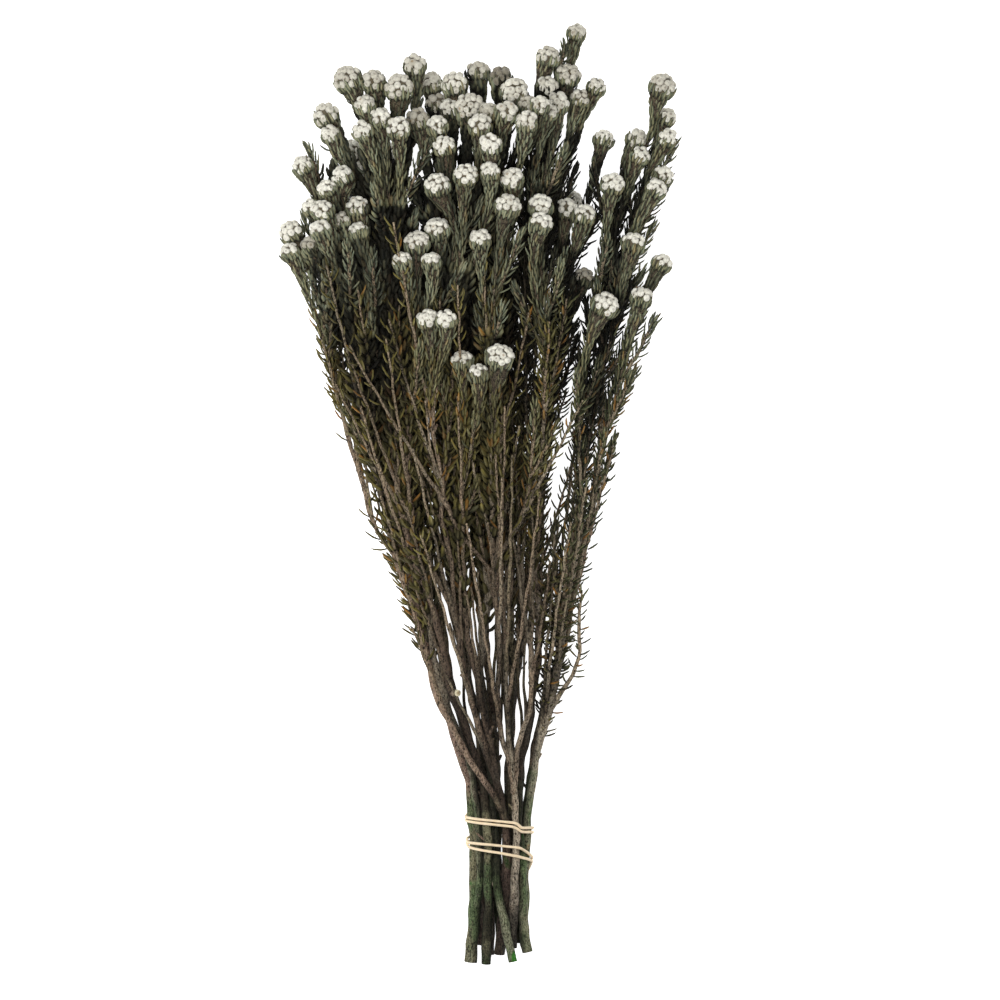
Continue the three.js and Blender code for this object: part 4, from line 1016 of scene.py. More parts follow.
def stubs(surface, route, rng):
    """Short side twigs left on a stem: tapered tubes of four rings that lean out of it. Their
    radius at share t is thick (1.25 - 0.45 t)."""
    room = route.high - route.low - STUB_ENDS
    if room < STUB_ROOM:
        return
    count = max(1, round(room / STUB_EVERY))
    for y in route.low + STUB_FROM + np.sort(rng.uniform(0, room, count)):
        middle = route.at(np.array([y, y + 1]))
        along = unit(middle[1] - middle[0])
        side = unit(np.cross(along, rng.normal(size=3)))
        lean = rng.uniform(*STUB_LEAN)
        outward = math.cos(lean) * along + math.sin(lean) * side
        long = route.radius_at(y) + rng.uniform(*STUB_LONG)
        thick = rng.uniform(*STUB_THICK)
        t = np.array(STUB_RINGS)[:, None]
        curl = STUB_CURL * long * t**2 * along
        radii = thick * (1.25 - 0.45 * t) * np.ones(STUB_SIDES)
        vertices, triangles = tube(middle[0] + t * long * outward + curl, radii, side + 0.3 * along)
        cut = np.zeros(len(vertices))
        cut[-1] = 1
        cut[-2 - STUB_SIDES : -2] = 0.5
        if vertices[:, 2].min() > 0.1:
            # Painted shade by depth in the bunch
            tone, deep = rng.uniform(0, 1), depth(vertices)
            surface.add(vertices, triangles, young=0.3, cut=cut, tone=tone, deep=deep)


def make_wood(b, routes, rng):
    """The stems, forks, side twigs and cut stubs of one branch."""
    surface = Surface("young", "cut", "tone", "dye", "deep")
    own = [route for route in routes if route.branch == b]
    twigs = [twig for twig in side_shoots() if twig.branch == b]
    tone, dye = rng.uniform(0, 1), float(draw(11 * b) < DYED_SHARE)
    for route in own:
        forks = [crotch_y(child) - 3 for child in own if child.parent is route]
        forks += [twig.low + 1 for twig in twigs if twig.parent is route and not twig.leafy]
        stem(surface, route, forks, tone + rng.normal(0, 0.12), dye, rng)
        if not route.leafy:
            stubs(surface, route, rng)
    for twig in twigs:
        stem(surface, twig, [], tone + rng.normal(0, 0.2), 0.0, rng)
    if b == SAWN_BRANCH:
        sawn_twig(surface, own)
    return surface


LEAF_STATIONS = np.array([0, 0.38, 0.78])
LEAF_WIDTHS = np.array([0.55, 1, 0.74])
KEEL = 0.42  # a leaf's back stands out this share of its width
BELLY = 0.22
LEAF_FACES = np.concatenate([wall(3, 4), fan(12, np.arange(8, 12), True), [[0, 3, 2], [0, 2, 1]]])
LEAF_ALONG = np.append(np.repeat(LEAF_STATIONS, 4), 1)
LEAF_BACK = np.array([0.3, 1, 0.3, 0] * 3 + [0.6])


def blades(base, along, outward, length, width, opening, closing, sweep):
    """Narrow leaves, all at once. A leaf leaves the stem at angle `opening` from it and its angle
    goes evenly to `closing` at its tip, so with d = closing - opening its midline at share t is
    length (sin(opening + d t) - sin opening) / d along the stem and
    length (cos opening - cos(opening + d t)) / d outwards, and sweep length t^2 to the side. Its
    section is a keeled diamond that narrows to the tip."""
    t = np.append(LEAF_STATIONS, 1)[None, :, None]
    opening, d = opening[:, None, None], (closing - opening)[:, None, None]
    angle = opening + d * t
    size = length[:, None, None]
    rise = size * (np.sin(angle) - np.sin(opening)) / d
    out = size * (np.cos(opening) - np.cos(angle)) / d
    along, outward = along[:, None], outward[:, None]
    side = np.cross(along, outward)
    midline = base[:, None] + rise * along + out * outward
    midline = midline + sweep[:, None, None] * size * t**2 * side
    back = np.cos(angle) * outward - np.sin(angle) * along
    broad = width[:, None, None] * LEAF_WIDTHS[None, :, None]
    line, back = midline[:, :3], back[:, :3]
    left, right = line - side * broad / 2, line + side * broad / 2
    keel, belly = line + back * (KEEL * broad + 0.1), line - back * (BELLY * broad + 0.05)
    section = np.stack([left, keel, right, belly], 2).reshape(len(base), 12, 3)
    return np.concatenate([section, midline[:, 3:]], 1)


# Degrees from the shoot at a leaf's foot and at its tip, for mm below a head or a leafy tip
OPENING_BELOW = (0, 4, 12, 26, 45, 90, 150)
OPENING = (38, 30, 22, 19, 26, 42, 52)
CLOSING = (-16, -8, -4, -2, 2, 10, 16)
TIP_BELOW, TIP_OPENING, TIP_CLOSING = (0, 10, 24), (12, 32, 46), (-10, 4, 16)
SPLAY = 24, 26  # how much wider at both ends on the right, low down
LENGTH_BELOW, LENGTH_SHARE = (0, 12, 40, 80), (0.78, 0.84, 0.94, 1)
SHORTER, WIDER = 0.2, 1.2  # shares for leaves on the right and for those that close the view
WAY_BELOW = 150.0  # leaves on a way look as far below a head as this
TURN_VARIES, FOOT_VARIES, TIP_VARIES, SWEEP_VARIES = 0.18, 9, 10, 0.07
LOW_CLOSING, LEAST_BEND = 4, 3  # degrees
LEAF_SEAT = 0.86  # of the wood's radius, where leaves stand
HEAD_CLEAR, TABLE_CLEAR = 0.3, 0.05  # from leaves to other shoots' heads and to the table
AGE_BELOW, AGE_OLDER, AGE_LOW, AGE_VARIES = (8, 95), 0.5, 0.2, 0.12

# Stretches of the photograph over which leaves change: a first pixel row or column, and how many
# more. All but LOW_ROWS and OLDER_ROWS are for the right side alone.
LOW_ROWS, OLDER_ROWS, RIGHT_COLUMNS = (380, 200), (300, 110), (530, 15)
SHORT_ROWS, SPLAY_ROWS = (400, 60), (540, 80)
THIN_COLUMNS, THIN_ROWS, THINNED = (525, 20), (470, 90), 0.4

# Leaves on each mm. First for shoots by mm below their head or leafy tip
BELOW_HEAD = (0, 8, 22, 34, 60, 100, 140, 175)
FRONT_SHOOTS = (3.4, 2.4, 1.5, 1.05, 0.7, 0.42, 0.12, 0)
DEEP_SHOOTS = (2.8, 2.2, 1.6, 1.1, 1.05, 1.0, 0.9, 0.7)
TIP_LEAVES = (0, 12, 60), (1.7, 1.0, 0.75)
# Then shares of those by pixel row, for shoots with a head and without
LOW_SHOOTS, LOW_TIPS = ((400, 480, 560), (1, 0.5, 0.15)), ((430, 540), (1, 0.6))
# Then for ways and bare twigs by pixel row, in front, deep in the bunch and at its sides
FRONT_WAYS = (0, 400, 450, 510, 600), (0.6, 0.34, 0.06, 0.01, 0)
DEEP_WAYS = (0, 400, 460, 520, 580), (0.95, 1.1, 0.85, 0.28, 0)
LEFT_WAYS, LEFT_COLUMN, LEFT_RUN = ((500, 540, 630, 670), (0, 0.55, 0.45, 0)), 434, 6
RIGHT_WAYS = (400, 480, 560, 700, 745), (0.85, 0.55, 0.42, 0.25, 0)
TWIG_TIP = (0, 25, 60), (1.2, 0.9, 0.5)  # a share by mm below a bare twig's tip
LEAF_SHOWN = (380, 450, 600, 660), (1, 0.76, 0.76, 1)  # rows, and the share of its depth shown as painted shade


def inner_part(points):
    """How far points lie in the bunch's inner part: 0 up to a depth of 0.38, and 1 at 1."""
    return np.clip(1.6 * depth(points) - 0.6, 0, 1)


def innermost_part(points):
    """The same for its innermost part: 0 up to a depth of two thirds, and 1 at 1."""
    return np.clip(3 * depth(points) - 2, 0, 1)


def on_right(points):
    """How far points lie on the bunch's right side, from 0 to 1."""
    return share(across_pixel(points[:, 0]), *RIGHT_COLUMNS)


def thin_right(y, points):
    """The share of a shoot's leaves that are left: fewer on the right, low down."""
    right = share(across_pixel(points[:, 0]), *THIN_COLUMNS)
    return 1 - THINNED * right * share(down_pixel(y), *THIN_ROWS)


def leaf_density(route, y, points):
    """Leaves on each mm of a route. A shoot is crowded below its head. A way or a bare twig has
    leaves where it is high in the bunch, and at its sides some lower down."""
    below, down = route.high - y, down_pixel(y)
    if route.head:
        front = np.interp(below, BELOW_HEAD, FRONT_SHOOTS)
        back = np.interp(below, BELOW_HEAD, DEEP_SHOOTS)
        dense = front + (back - front) * inner_part(points)
        thin = np.interp(down, *LOW_SHOOTS)
        return dense * (thin + (1 - thin) * innermost_part(points)) * thin_right(y, points)
    if route.leafy:
        return np.interp(below, *TIP_LEAVES) * np.interp(down, *LOW_TIPS)
    front, back = np.interp(down, *FRONT_WAYS), np.interp(down, *DEEP_WAYS)
    dense = front + (back - front) * inner_part(points)
    at_left = share(LEFT_COLUMN, across_pixel(points[:, 0]), LEFT_RUN)
    dense = np.maximum(dense, np.interp(down, *LEFT_WAYS) * at_left)
    if isinstance(route, Sprig):
        dense = dense * np.interp(below, *TWIG_TIP)
    right = on_right(points)
    return dense * (1 - right) + np.interp(down, *RIGHT_WAYS) * right


LEAF_TOP = 124  # no leaf stands higher than this
CLOSED_UP_TO = 505  # the pixel column up to which the inner leaves close the view of the table


def leaf_places(route, rng):
    """The y of each leaf of a route: where the running sum of the density passes whole numbers."""
    y = np.linspace(route.low + 2, route.high - 0.5, 200)
    dense = leaf_density(route, y, route.at(y))
    total = np.concatenate([[0], np.cumsum((dense[1:] + dense[:-1]) / 2 * np.diff(y))])
    count = math.floor(total[-1])
    return np.interp(np.arange(count) + rng.uniform(0.1, 0.9, count) * 0.6, total, y)


def leaf_shade_shown(points):
    """How much of its depth a leaf shows as painted shade: a little less in the middle of the bunch's
    length.
    """
    return np.interp(down_pixel(points[:, 1]), *LEAF_SHOWN)


def add_leaves(surface, leaves, age, dim, rng):
    """Adds leaves that blades has shaped, each with its age, a random tone and painted shade by its
    depth in the bunch.
    """
    vertices, triangles = repeat(leaves, LEAF_FACES)
    surface.add(
        vertices,
        triangles,
        along=np.tile(LEAF_ALONG, len(leaves)),
        back=np.tile(LEAF_BACK, len(leaves)),
        age=np.repeat(age, len(LEAF_ALONG)),
        tone=np.repeat(rng.uniform(0, 1, len(leaves)), len(LEAF_ALONG)),
        deep=np.maximum(depth(vertices), dim) * leaf_shade_shown(vertices),
    )


# Rings of leaves that hold a head from below: degrees from its dome's direction, how many leaves,
# their length in mm, and the degrees from that direction at their feet and tips. A ring without
# a place stands on the rim of the shoot.
CUP_RINGS = ((None, 13, 7.2, 30, -10), (138, 12, 6.2, 46, -6), (118, 14, 4.4, 24, -12))
USUAL_HEAD, CUP_BUD = 6.6, 2.1  # radii of a usual head and of the buds its leaves leave room for


def cup(head, bud, width, rng):
    """The leaves that hold one head."""
    leaves = []
    for place, n, long, opening, closing in CUP_RINGS:
        axis = facing(head) if place else head.axis
        across, up = around(axis)
        turn = (np.arange(n) + rng.uniform(0, 1)) * 2 * math.pi / n + rng.normal(0, 0.09, n)
        spoke = spokes(turn, across, up)
        if place:
            core_radius = head.radius - 0.6 * bud
            low = math.radians(place)
            base = math.sin(low) * spoke + DOME_FLAT * math.cos(low) * axis
            base = dome_middle(head) + core_radius * base
        else:
            base = head.foot + FUNNEL_SHARE * head.radius * spoke - 0.6 * axis
        size = head.radius / USUAL_HEAD * rng.uniform(0.85, 1.15, n)
        angles = np.radians([opening, closing])[:, None] + rng.normal(0, 0.09, (2, n))
        axes, none = np.broadcast_to(axis, spoke.shape), rng.normal(0, 0.06, n)
        wide = width * rng.uniform(1.05, 1.3, n)
        leaves.append(blades(base, axes, spoke, long * size, wide, *angles, none))
    return np.concatenate(leaves)


def grow_leaves(surface, route, heads, settings, rng):
    """The leaves of one route, on a golden-angle spiral round it. Those that would stand in
    another shoot's head, in the table or above the bunch are left out."""
    y = leaf_places(route, rng)
    n = len(y)
    if n == 0:
        return
    middle = route.at(y)
    along = unit(route.at(y + 1.5) - route.at(y - 1.5))
    across = unit(np.array([1.0, 0, 0]) - along * along[:, :1])
    turn = np.arange(n) * GOLDEN_TURN + rng.normal(0, TURN_VARIES, n)
    outward = spokes(turn, across, np.cross(along, across))
    below = route.high - y if route.leafy else np.full(n, WAY_BELOW)
    rows = down_pixel(y)
    low_down, older = share(rows, *LOW_ROWS), share(rows, *OLDER_ROWS)
    splayed = on_right(middle) * share(rows, *SPLAY_ROWS)
    short = on_right(middle) * share(rows, *SHORT_ROWS)
    at, opening, closing = OPENING_BELOW, OPENING, CLOSING
    if not route.head and route.leafy:
        at, opening, closing = TIP_BELOW, TIP_OPENING, TIP_CLOSING
    opening = np.interp(below, at, opening) + SPLAY[0] * splayed + rng.normal(0, FOOT_VARIES, n)
    closing = np.interp(below, at, closing) + SPLAY[1] * splayed + LOW_CLOSING * low_down
    closing = closing + rng.normal(0, TIP_VARIES, n)
    closing = np.where(np.abs(closing - opening) < LEAST_BEND, opening - LEAST_BEND, closing)
    length = settings.length / MM * rng.uniform(0.82, 1.15, n)
    length = length * np.interp(below, LENGTH_BELOW, LENGTH_SHARE) * (1 - SHORTER * short)
    hidden = innermost_part(middle) * (across_pixel(middle[:, 0]) < CLOSED_UP_TO)
    width = settings.width / MM * rng.uniform(0.85, 1.1, n) * (1 + WIDER * hidden)
    base = middle + outward * (LEAF_SEAT * wood_radius(route, y))[:, None]
    angles, sweep = np.radians([opening, closing]), rng.normal(0, SWEEP_VARIES, n)
    leaves = blades(base, along, outward, length, width, *angles, sweep)
    centres, radii = spheres(heads)
    clear = np.array([head is route.head for head in heads])
    tip, waist = leaves[:, -1, None], leaves[:, 5, None]
    off = np.minimum(
        np.linalg.norm(tip - centres, axis=2) - radii,
        np.linalg.norm(waist - centres, axis=2) - radii,
    )
    keep = ((off > HEAD_CLEAR) | clear).all(1)
    keep &= (leaves[..., 2].min(1) > TABLE_CLEAR) & (leaves[..., 2].max(1) < LEAF_TOP)
    age = share(below, *AGE_BELOW) + AGE_OLDER * older + AGE_LOW * low_down
    age = age + rng.normal(0, AGE_VARIES, n)
    if keep.any():
        add_leaves(surface, leaves[keep], age[keep], shade_at_random(route), rng)


def make_leaves(b, heads, routes, settings, rng):
    """The leaves of one branch: those that hold its heads, then those of its routes."""
    surface = Surface("along", "back", "age", "tone", "deep")
    for head in (one for one in heads if one.branch == b):
        bud = CUP_BUD * min(1, head.radius / USUAL_HEAD)
        leaves = cup(head, bud, settings.width / MM, rng)
        leaves = leaves[leaves[..., 2].min(1) > TABLE_CLEAR]
        add_leaves(surface, leaves, rng.normal(-0.1, AGE_VARIES, len(leaves)), 0.0, rng)
    for route in routes + side_shoots():
        if route.branch == b:
            grow_leaves(surface, route, heads, settings, rng)
    return surface


BUD_SIDES = 8
BUD_PROFILE = np.array([[0.78, -0.5], [1.0, 0.1], [0.86, 0.6], [0.5, 0.86], [0.2, 0.84]])
BUD_ENDS = np.array([[0, -0.8], [0, 0.76]])
BUD_FACES = capped(len(BUD_PROFILE), BUD_SIDES)
BUD_RISE = np.append(np.repeat([-0.5, 0.1, 0.6, 0.9, 0.75], BUD_SIDES), [-0.8, 0.7])
BUD_DIMPLE = np.append(np.repeat([0, 0, 0, 0.15, 1.0], BUD_SIDES), [0, 1])
DOME_FLAT, DOME_BACK = 0.86, 0.12
DOME_RIM = math.radians(80)
FACING_DOWN = (60, 150, 200, 235)  # pixel rows, and the rise of a head's direction there
FACING, FACING_VARIES = (0.85, 1.4, 0.85, 0.2), 0.6
FACING_LOW = (300, 335, 0.9)  # rows of a pair of heads that turn up as well, and their rise
BUD_SEAT, CORE_RISE = 0.8, 0.18  # of a bud's radius: how deep it sits, and the core round it
GREY_ROW, GREY_RUN = 150, 80  # from this pixel row up heads get more painted shade, over so many rows
# how much painted shade a head gets from its depth, from standing high up, and at random
GREY_DEEP, GREY_UP, GREY_VARIES = 0.75, 0.45, 0.15
CORE_ROWS, CORE_SIDES = 8, 14


def around(axis):
    """Two directions square to an axis and to one another."""
    across = unit(np.cross(axis, [0.3, 0.1, 1.0]))
    return across, np.cross(axis, across)


def knobs(centres, outward, radius, twist, wobble):
    """Round buds with a dimple, all at once: a profile (out, up) turned round each bud's own
    direction, whose out at turn a is also times 1 + wobble sin(2a + 5 twist)."""
    across = unit(np.cross(outward, np.array([0.31, 0.17, 0.93])))
    up = np.cross(outward, across)
    turn = even_turns(BUD_SIDES)[None, :] + twist[:, None]
    spoke = spokes(turn, across[:, None], up[:, None])
    swell = 1 + wobble[:, None] * np.sin(2 * turn + 5 * twist[:, None])
    spoke = spoke * (swell * radius[:, None])[..., None]
    rings = centres[:, None, None] + BUD_PROFILE[None, :, 0, None, None] * spoke[:, None]
    lift = (radius[:, None] * BUD_PROFILE[:, 1])[..., None, None] * outward[:, None, None]
    rings = (rings + lift).reshape(len(centres), -1, 3)
    poles = (radius[:, None] * BUD_ENDS[:, 1])[..., None] * outward[:, None]
    return np.concatenate([rings, centres[:, None] + poles], 1)


def core(middle, axis, radius):
    """The head's core between the buds, which its material paints darker as shade: an egg whose point
    at angles u and v is middle + radius (sin u (cos v across + sin v up) + DOME_FLAT cos u axis)."""
    across, up = around(axis)
    u = np.linspace(0, math.pi, CORE_ROWS + 2)[1:-1][::-1]
    spoke = spokes(even_turns(CORE_SIDES), across, up)
    rings = radius * (
        np.sin(u)[:, None, None] * spoke + DOME_FLAT * np.cos(u)[:, None, None] * axis
    )
    poles = radius * DOME_FLAT * np.array([-1, 1])[:, None] * axis
    return middle + np.vstack([rings.reshape(-1, 3), poles]), capped(CORE_ROWS, CORE_SIDES)


def dome_middle(head):
    """The point that a head's buds are set round, a little behind its centre."""
    return head.centre - DOME_BACK * head.radius * head.axis


def facing(head):
    """The direction of a head's dome: the shoot's, with a rise that depends on its pixel row and
    varies from head to head."""
    down = down_pixel(head.centre[1])
    rise = np.interp(down, FACING_DOWN, FACING)
    rise += FACING_VARIES * (draw(3.1 * head.centre[0] + head.centre[1]) - 0.5)
    if FACING_LOW[0] < down < FACING_LOW[1]:
        rise = FACING_LOW[2]
    across, ahead, up = head.axis / head.axis[1]
    return unit(np.array([across, ahead, rise + 0.4 * up]))


def make_heads(b, heads, settings, rng):
    """The heads of one branch. A head's n buds lie on a golden-angle spiral over its dome: bud k is
    where the cosine of its angle from the axis has gone (k + 1/2) / n of its way to the rim's."""
    surface = Surface("rise", "dimple", "tone", "grey", "core")
    for head in (one for one in heads if one.branch == b):
        bud = settings.bud_radius / MM * rng.uniform(0.94, 1.08) * min(1, head.radius / USUAL_HEAD)
        reach = head.radius - BUD_SEAT * bud
        axis = facing(head)
        area = 2 * math.pi * reach**2 * (1 - math.cos(DOME_RIM))
        n = max(9, round(settings.crowding * area / (math.pi * bud**2)))
        gone = (np.arange(n) + 0.5) / n
        tilt = np.arccos(1 - gone * (1 - math.cos(DOME_RIM))) + rng.normal(0, 0.035, n)
        turn = np.arange(n) * GOLDEN_TURN + rng.uniform(0, 6) + rng.normal(0, 0.05, n)
        across, up = around(axis)
        spoke = spokes(turn, across, up)
        high, low = np.cos(tilt)[:, None], np.sin(tilt)[:, None]
        middle = dome_middle(head)
        centres = middle + reach * (low * spoke + DOME_FLAT * high * axis)
        centres = centres + rng.normal(0, 0.12, (n, 3))
        outward = unit(DOME_FLAT * low * spoke + high * axis + rng.normal(0, 0.1, (n, 3)))
        size = bud * rng.uniform(0.86, 1.12, n)
        shape = knobs(centres, outward, size, rng.uniform(0, 6, n), rng.uniform(0, 0.09, n))
        vertices, triangles = repeat(shape, BUD_FACES)
        per_bud = len(BUD_RISE)
        # Painted shade: heads deep in the bunch or high up are greyer, some more at random
        far_up = share(GREY_ROW, down_pixel(head.centre[1]), GREY_RUN)
        grey = GREY_DEEP * depth(head.centre[None])[0] + GREY_UP * far_up
        grey = np.clip(grey + rng.uniform(-GREY_VARIES, GREY_VARIES), 0, 1)
        surface.add(
            vertices,
            triangles,
            rise=np.tile(BUD_RISE, n),
            dimple=np.tile(BUD_DIMPLE, n),
            tone=np.repeat(rng.uniform(0, 1, n), per_bud),
            grey=grey,
        )
        surface.add(*core(middle, axis, reach + CORE_RISE * bud), core=1.0, grey=grey)
    return surface


STRAND_STEPS = 150  # points round the bunch in one turn of the tie
STRAND_SIDES = 10
STRAND_SPACING = 1.1
STRAND_OFF = 1.04  # of a stem's radius, where a strand lies on it


def strand_line(routes, downs, band_radius):
    """The way of one strand of the tie: at each turn it lies as far out as the stems reach in that
    direction, so with that reach h it is at h (cos a, sin a) + h' (-sin a, cos a). Its y changes
    evenly along its length between the turns that the plan gives."""
    count = round((BAND_TURNS[-1] - BAND_TURNS[0]) * STRAND_STEPS)
    turn = np.linspace(BAND_TURNS[0], BAND_TURNS[-1], count + 1)
    angle = math.pi * (1 - 2 * turn)
    step = 0.02
    downs = np.array(downs, float)

    def reach(y, a):
        far = []
        for route in routes:
            x, _, z = route.at(y).T
            off = x * np.cos(a) + z * np.sin(a) + STRAND_OFF * route.radius_at(y)
            far.append(np.where((route.low < y) & (route.high > y), off, NOWHERE))
        return np.max(far, 0) + band_radius + BAND_GAP

    def outline(y):
        out = reach(y, angle)
        side = (reach(y, angle + step) - reach(y, angle - step)) / (2 * step)
        x = out * np.cos(angle) - side * np.sin(angle)
        z = out * np.sin(angle) + side * np.cos(angle)
        return x, z

    y = (MIDDLE_DOWN - np.interp(turn, BAND_TURNS, downs)) * SCALE
    for _ in range(2):
        x, z = outline(y)
        s = np.concatenate([[0], np.cumsum(np.hypot(np.diff(x), np.diff(z)))])
        marked = np.interp(BAND_TURNS, turn, s)
        y = (MIDDLE_DOWN - np.interp(s, marked, downs)) * SCALE
    return np.stack([x, y, z], 1)


def make_tie(routes, settings, rng):
    """The elastic tie: one closed loop, laid double and wound twice, evened along its length."""
    radius = settings.strand_radius / MM
    near = [route for route in routes if route.low < -180 and route.high > -240]
    first, second = (strand_line(near, downs, radius) for downs in BAND_DOWNS)
    loop = np.vstack([first, second[::-1]])
    closed = np.vstack([loop, loop[:1]])
    s = length_along(closed)
    count = round(s[-1] / STRAND_SPACING)
    wanted = np.arange(count) * s[-1] / count
    line = np.stack([np.interp(wanted, s, closed[:, c]) for c in range(3)], 1)
    for _ in range(2):
        line = line / 2 + (np.roll(line, 1, 0) + np.roll(line, -1, 0)) / 4
    outward = unit(line - line.mean(0)) * [1, 0, 1]
    thick = radius * (1 + 0.04 * np.sin(wanted / 7) + rng.normal(0, 0.008, count))
    surface = Surface("run")
    vertices, triangles = tube(line, thick[:, None] * np.ones(STRAND_SIDES), outward, True)
    surface.add(vertices, triangles, run=np.repeat(wanted, STRAND_SIDES))
    return surface


def paint(code):
    """A colour given as #rrggbb, in the linear numbers that shaders work in."""
    parts = [int(code[i : i + 2], 16) / 255 for i in (1, 3, 5)]
    return tuple(p / 12.92 if p <= 0.04045 else ((p + 0.055) / 1.055) ** 2.4 for p in parts)


class Value:
    """A number or colour on its way through a material. Python's operators add Math nodes."""

    def __init__(self, graph, socket):
        self.graph, self.socket = graph, socket

    def maths(self, operation, *operands, clamp=False):
        settings = {"operation": operation, "use_clamp": clamp}
        return self.graph.node("ShaderNodeMath", settings, dict(enumerate(operands)))

    def __add__(self, other):
        return self.maths("ADD", self, other)

    __radd__ = __add__

    def __sub__(self, other):
        return self.maths("SUBTRACT", self, other)

    def __rsub__(self, other):
        return self.maths("SUBTRACT", other, self)

    def __mul__(self, other):
        return self.maths("MULTIPLY", self, other)

    __rmul__ = __mul__

    def size(self):
        return self.maths("ABSOLUTE", self)

    def kept(self):
        """The value held between 0 and 1."""
        return self.maths("ADD", self, 0.0, clamp=True)

    def step(self, low, high):
        """0 below low and 1 above high, with a smooth rise between them."""
        settings = {"interpolation_type": "SMOOTHSTEP"}
        ends = {"Value": self, "From Min": low, "From Max": high}
        return self.graph.node("ShaderNodeMapRange", settings, ends)


class Graph:
    """A material's nodes. Settings of the surface that are the same all over are set directly."""

    def __init__(self, name, **constants):
        self.material = bpy.data.materials.new(name)
        self.material.use_nodes = True
        self.tree = self.material.node_tree
        self.surface = self.tree.nodes["Principled BSDF"]
        for key, value in constants.items():
            self.surface.inputs[key.replace("_", " ")].default_value = value

    def node(self, kind, settings=None, inputs=None, output=0):
        """Adds a node: its settings first, then a value or a link for each socket named."""
        node = self.tree.nodes.new(kind)
        for key, value in (settings or {}).items():
            setattr(node, key, value)
        for key, value in (inputs or {}).items():
            self.feed(self.pick(node.inputs, key), value)
        return Value(self, self.pick(node.outputs, output))

    @staticmethod
    def pick(sockets, key):
        shown = [socket for socket in sockets if socket.enabled]
        return shown[key] if isinstance(key, int) else next(s for s in shown if s.name == key)

    def feed(self, socket, value):
        if isinstance(value, Value):
            self.tree.links.new(value.socket, socket)
        elif socket.type == "RGBA":
            socket.default_value = (*value[:3], 1)
        else:
            socket.default_value = value

    def mark(self, name):
        """The number that the mesh holds under a name."""
        return self.node("ShaderNodeAttribute", {"attribute_name": name}, output="Fac")

    def place(self, scale):
        """Object coordinates times a scale for each axis, from millimetres."""
        where = self.node("ShaderNodeTexCoord", output="Object")
        size = [number / MM for number in scale]
        return self.node("ShaderNodeMapping", inputs={"Vector": where, "Scale": size})

    def axis(self, name):
        """One of the object coordinates, in mm."""
        where = self.place((1, 1, 1))
        return self.node("ShaderNodeSeparateXYZ", inputs={"Vector": where}, output=name)

    def noise(self, scale, detail=2.0, roughness=0.55):
        """Soft noise, about 0.5, with scale waves a mm on each axis."""
        given = {"Vector": self.place(scale), "Scale": 1.0, "Detail": detail}
        return self.node("ShaderNodeTexNoise", inputs={**given, "Roughness": roughness})

    def cells(self, scale, randomness=1.0):
        """The distance to the nearest of scattered points, scale of them a mm."""
        given = {"Vector": self.place(scale), "Scale": 1.0, "Randomness": randomness}
        return self.node("ShaderNodeTexVoronoi", inputs=given, output="Distance")

    def mix(self, part, a, b):
        """Colour a with that part of colour b in it."""
        return self.node("ShaderNodeMix", {"data_type": "RGBA"}, {"Factor": part, "A": a, "B": b})

    def finish(self, colour, roughness, height, relief):
        """Links the colour, the roughness and a bump of that relief in mm. Gives the material."""
        bump = {"Height": height, "Distance": relief * MM, "Strength": 1.0}
        self.feed(self.surface.inputs["Base Color"], colour)
        self.feed(self.surface.inputs["Roughness"], roughness)
        self.feed(self.surface.inputs["Normal"], self.node("ShaderNodeBump", inputs=bump))
        return self.material


def bark_material(settings):
    """Bark with streaks along the stems, dark hollows, pale leaf scars and flecks. Its colour goes
    from grey over reddish brown to olive from branch to branch. Thin wood is younger and more
    olive, cut ends are pale, and green dye has crept up some of the cut stems. Painted shade makes it
    near black deep in the bunch, under the leaves below a head and on some stems at random."""
    graph = Graph("bark", Specular_IOR_Level=0.2)
    streaks = graph.noise((1.3, 0.12, 1.3), 5, 0.65)
    blotches = graph.noise((0.13, 0.05, 0.13), 3)
    grain = graph.noise((1.25, 0.75, 1.25), 3, 0.7)
    spots = graph.cells((0.42, 0.28, 0.42))
    flecks = graph.cells((0.75, 0.6, 0.75))
    tone = graph.mark("tone")
    young = (graph.mark("young") + (blotches - 0.5) * 0.9).kept()
    light = (streaks.step(0.38, 0.6) * 0.5 + grain.step(0.42, 0.58) * 0.55).kept()
    shade = (tone + (blotches - 0.5) * 0.8).kept()
    warm = graph.mix(shade.step(0.2, 0.5), settings.pale_bark, settings.red_bark)
    pale = graph.mix(shade.step(0.6, 0.85), warm, settings.olive_bark)
    bark = graph.mix(light, settings.dark_bark, pale)
    twig = graph.mix(light, settings.dark_bark, settings.young_wood)
    bark = graph.mix(young * 0.75, bark, twig)
    scar = 1 - spots.step(0.14, 0.32)
    fleck = 1 - flecks.step(0.1, 0.28)
    bark = graph.mix(scar * 0.75, bark, paint("#1d1813"))
    bark = graph.mix(fleck * 0.6, bark, paint("#b3a795"))
    cut = graph.mark("cut")
    bark = graph.mix(cut.step(0.2, 0.9) * 0.8, bark, paint("#a8946d"))
    bark = graph.mix(cut.step(1.1, 1.6), bark, paint("#d9d0b0"))
    along = graph.axis("Y")
    edge = along + (blotches - 0.5) * 110
    dyed = 1 - edge.step(settings.dye_top / MM - 26, settings.dye_top / MM + 18)
    patches = graph.noise((0.09, 0.04, 0.09), 2).step(0.42, 0.6)
    vivid = graph.noise((0.11, 0.07, 0.11), 1).step(0.68, 0.76)
    dye = graph.mix(light, settings.dark_dye, settings.pale_dye)
    dye = graph.mix(vivid * 0.8, dye, settings.vivid_dye)
    taken_up = (dyed * graph.mark("dye") * (0.62 + patches * 0.38)).kept() * (1 - scar * 0.5)
    colour = graph.mix((taken_up + dyed * vivid * 0.5).kept(), bark, dye)
    # Painted shade: near black deep in the bunch, under the leaves below a head, and on some stems at
    # random
    colour = graph.mix(graph.mark("deep") * 0.85, colour, settings.painted_shade_bark)
    height = streaks * 1.0 + grain * 0.5 - scar * 0.7 + fleck * 0.25
    return graph.finish(colour, 0.74 + streaks * 0.2, height, 0.8)


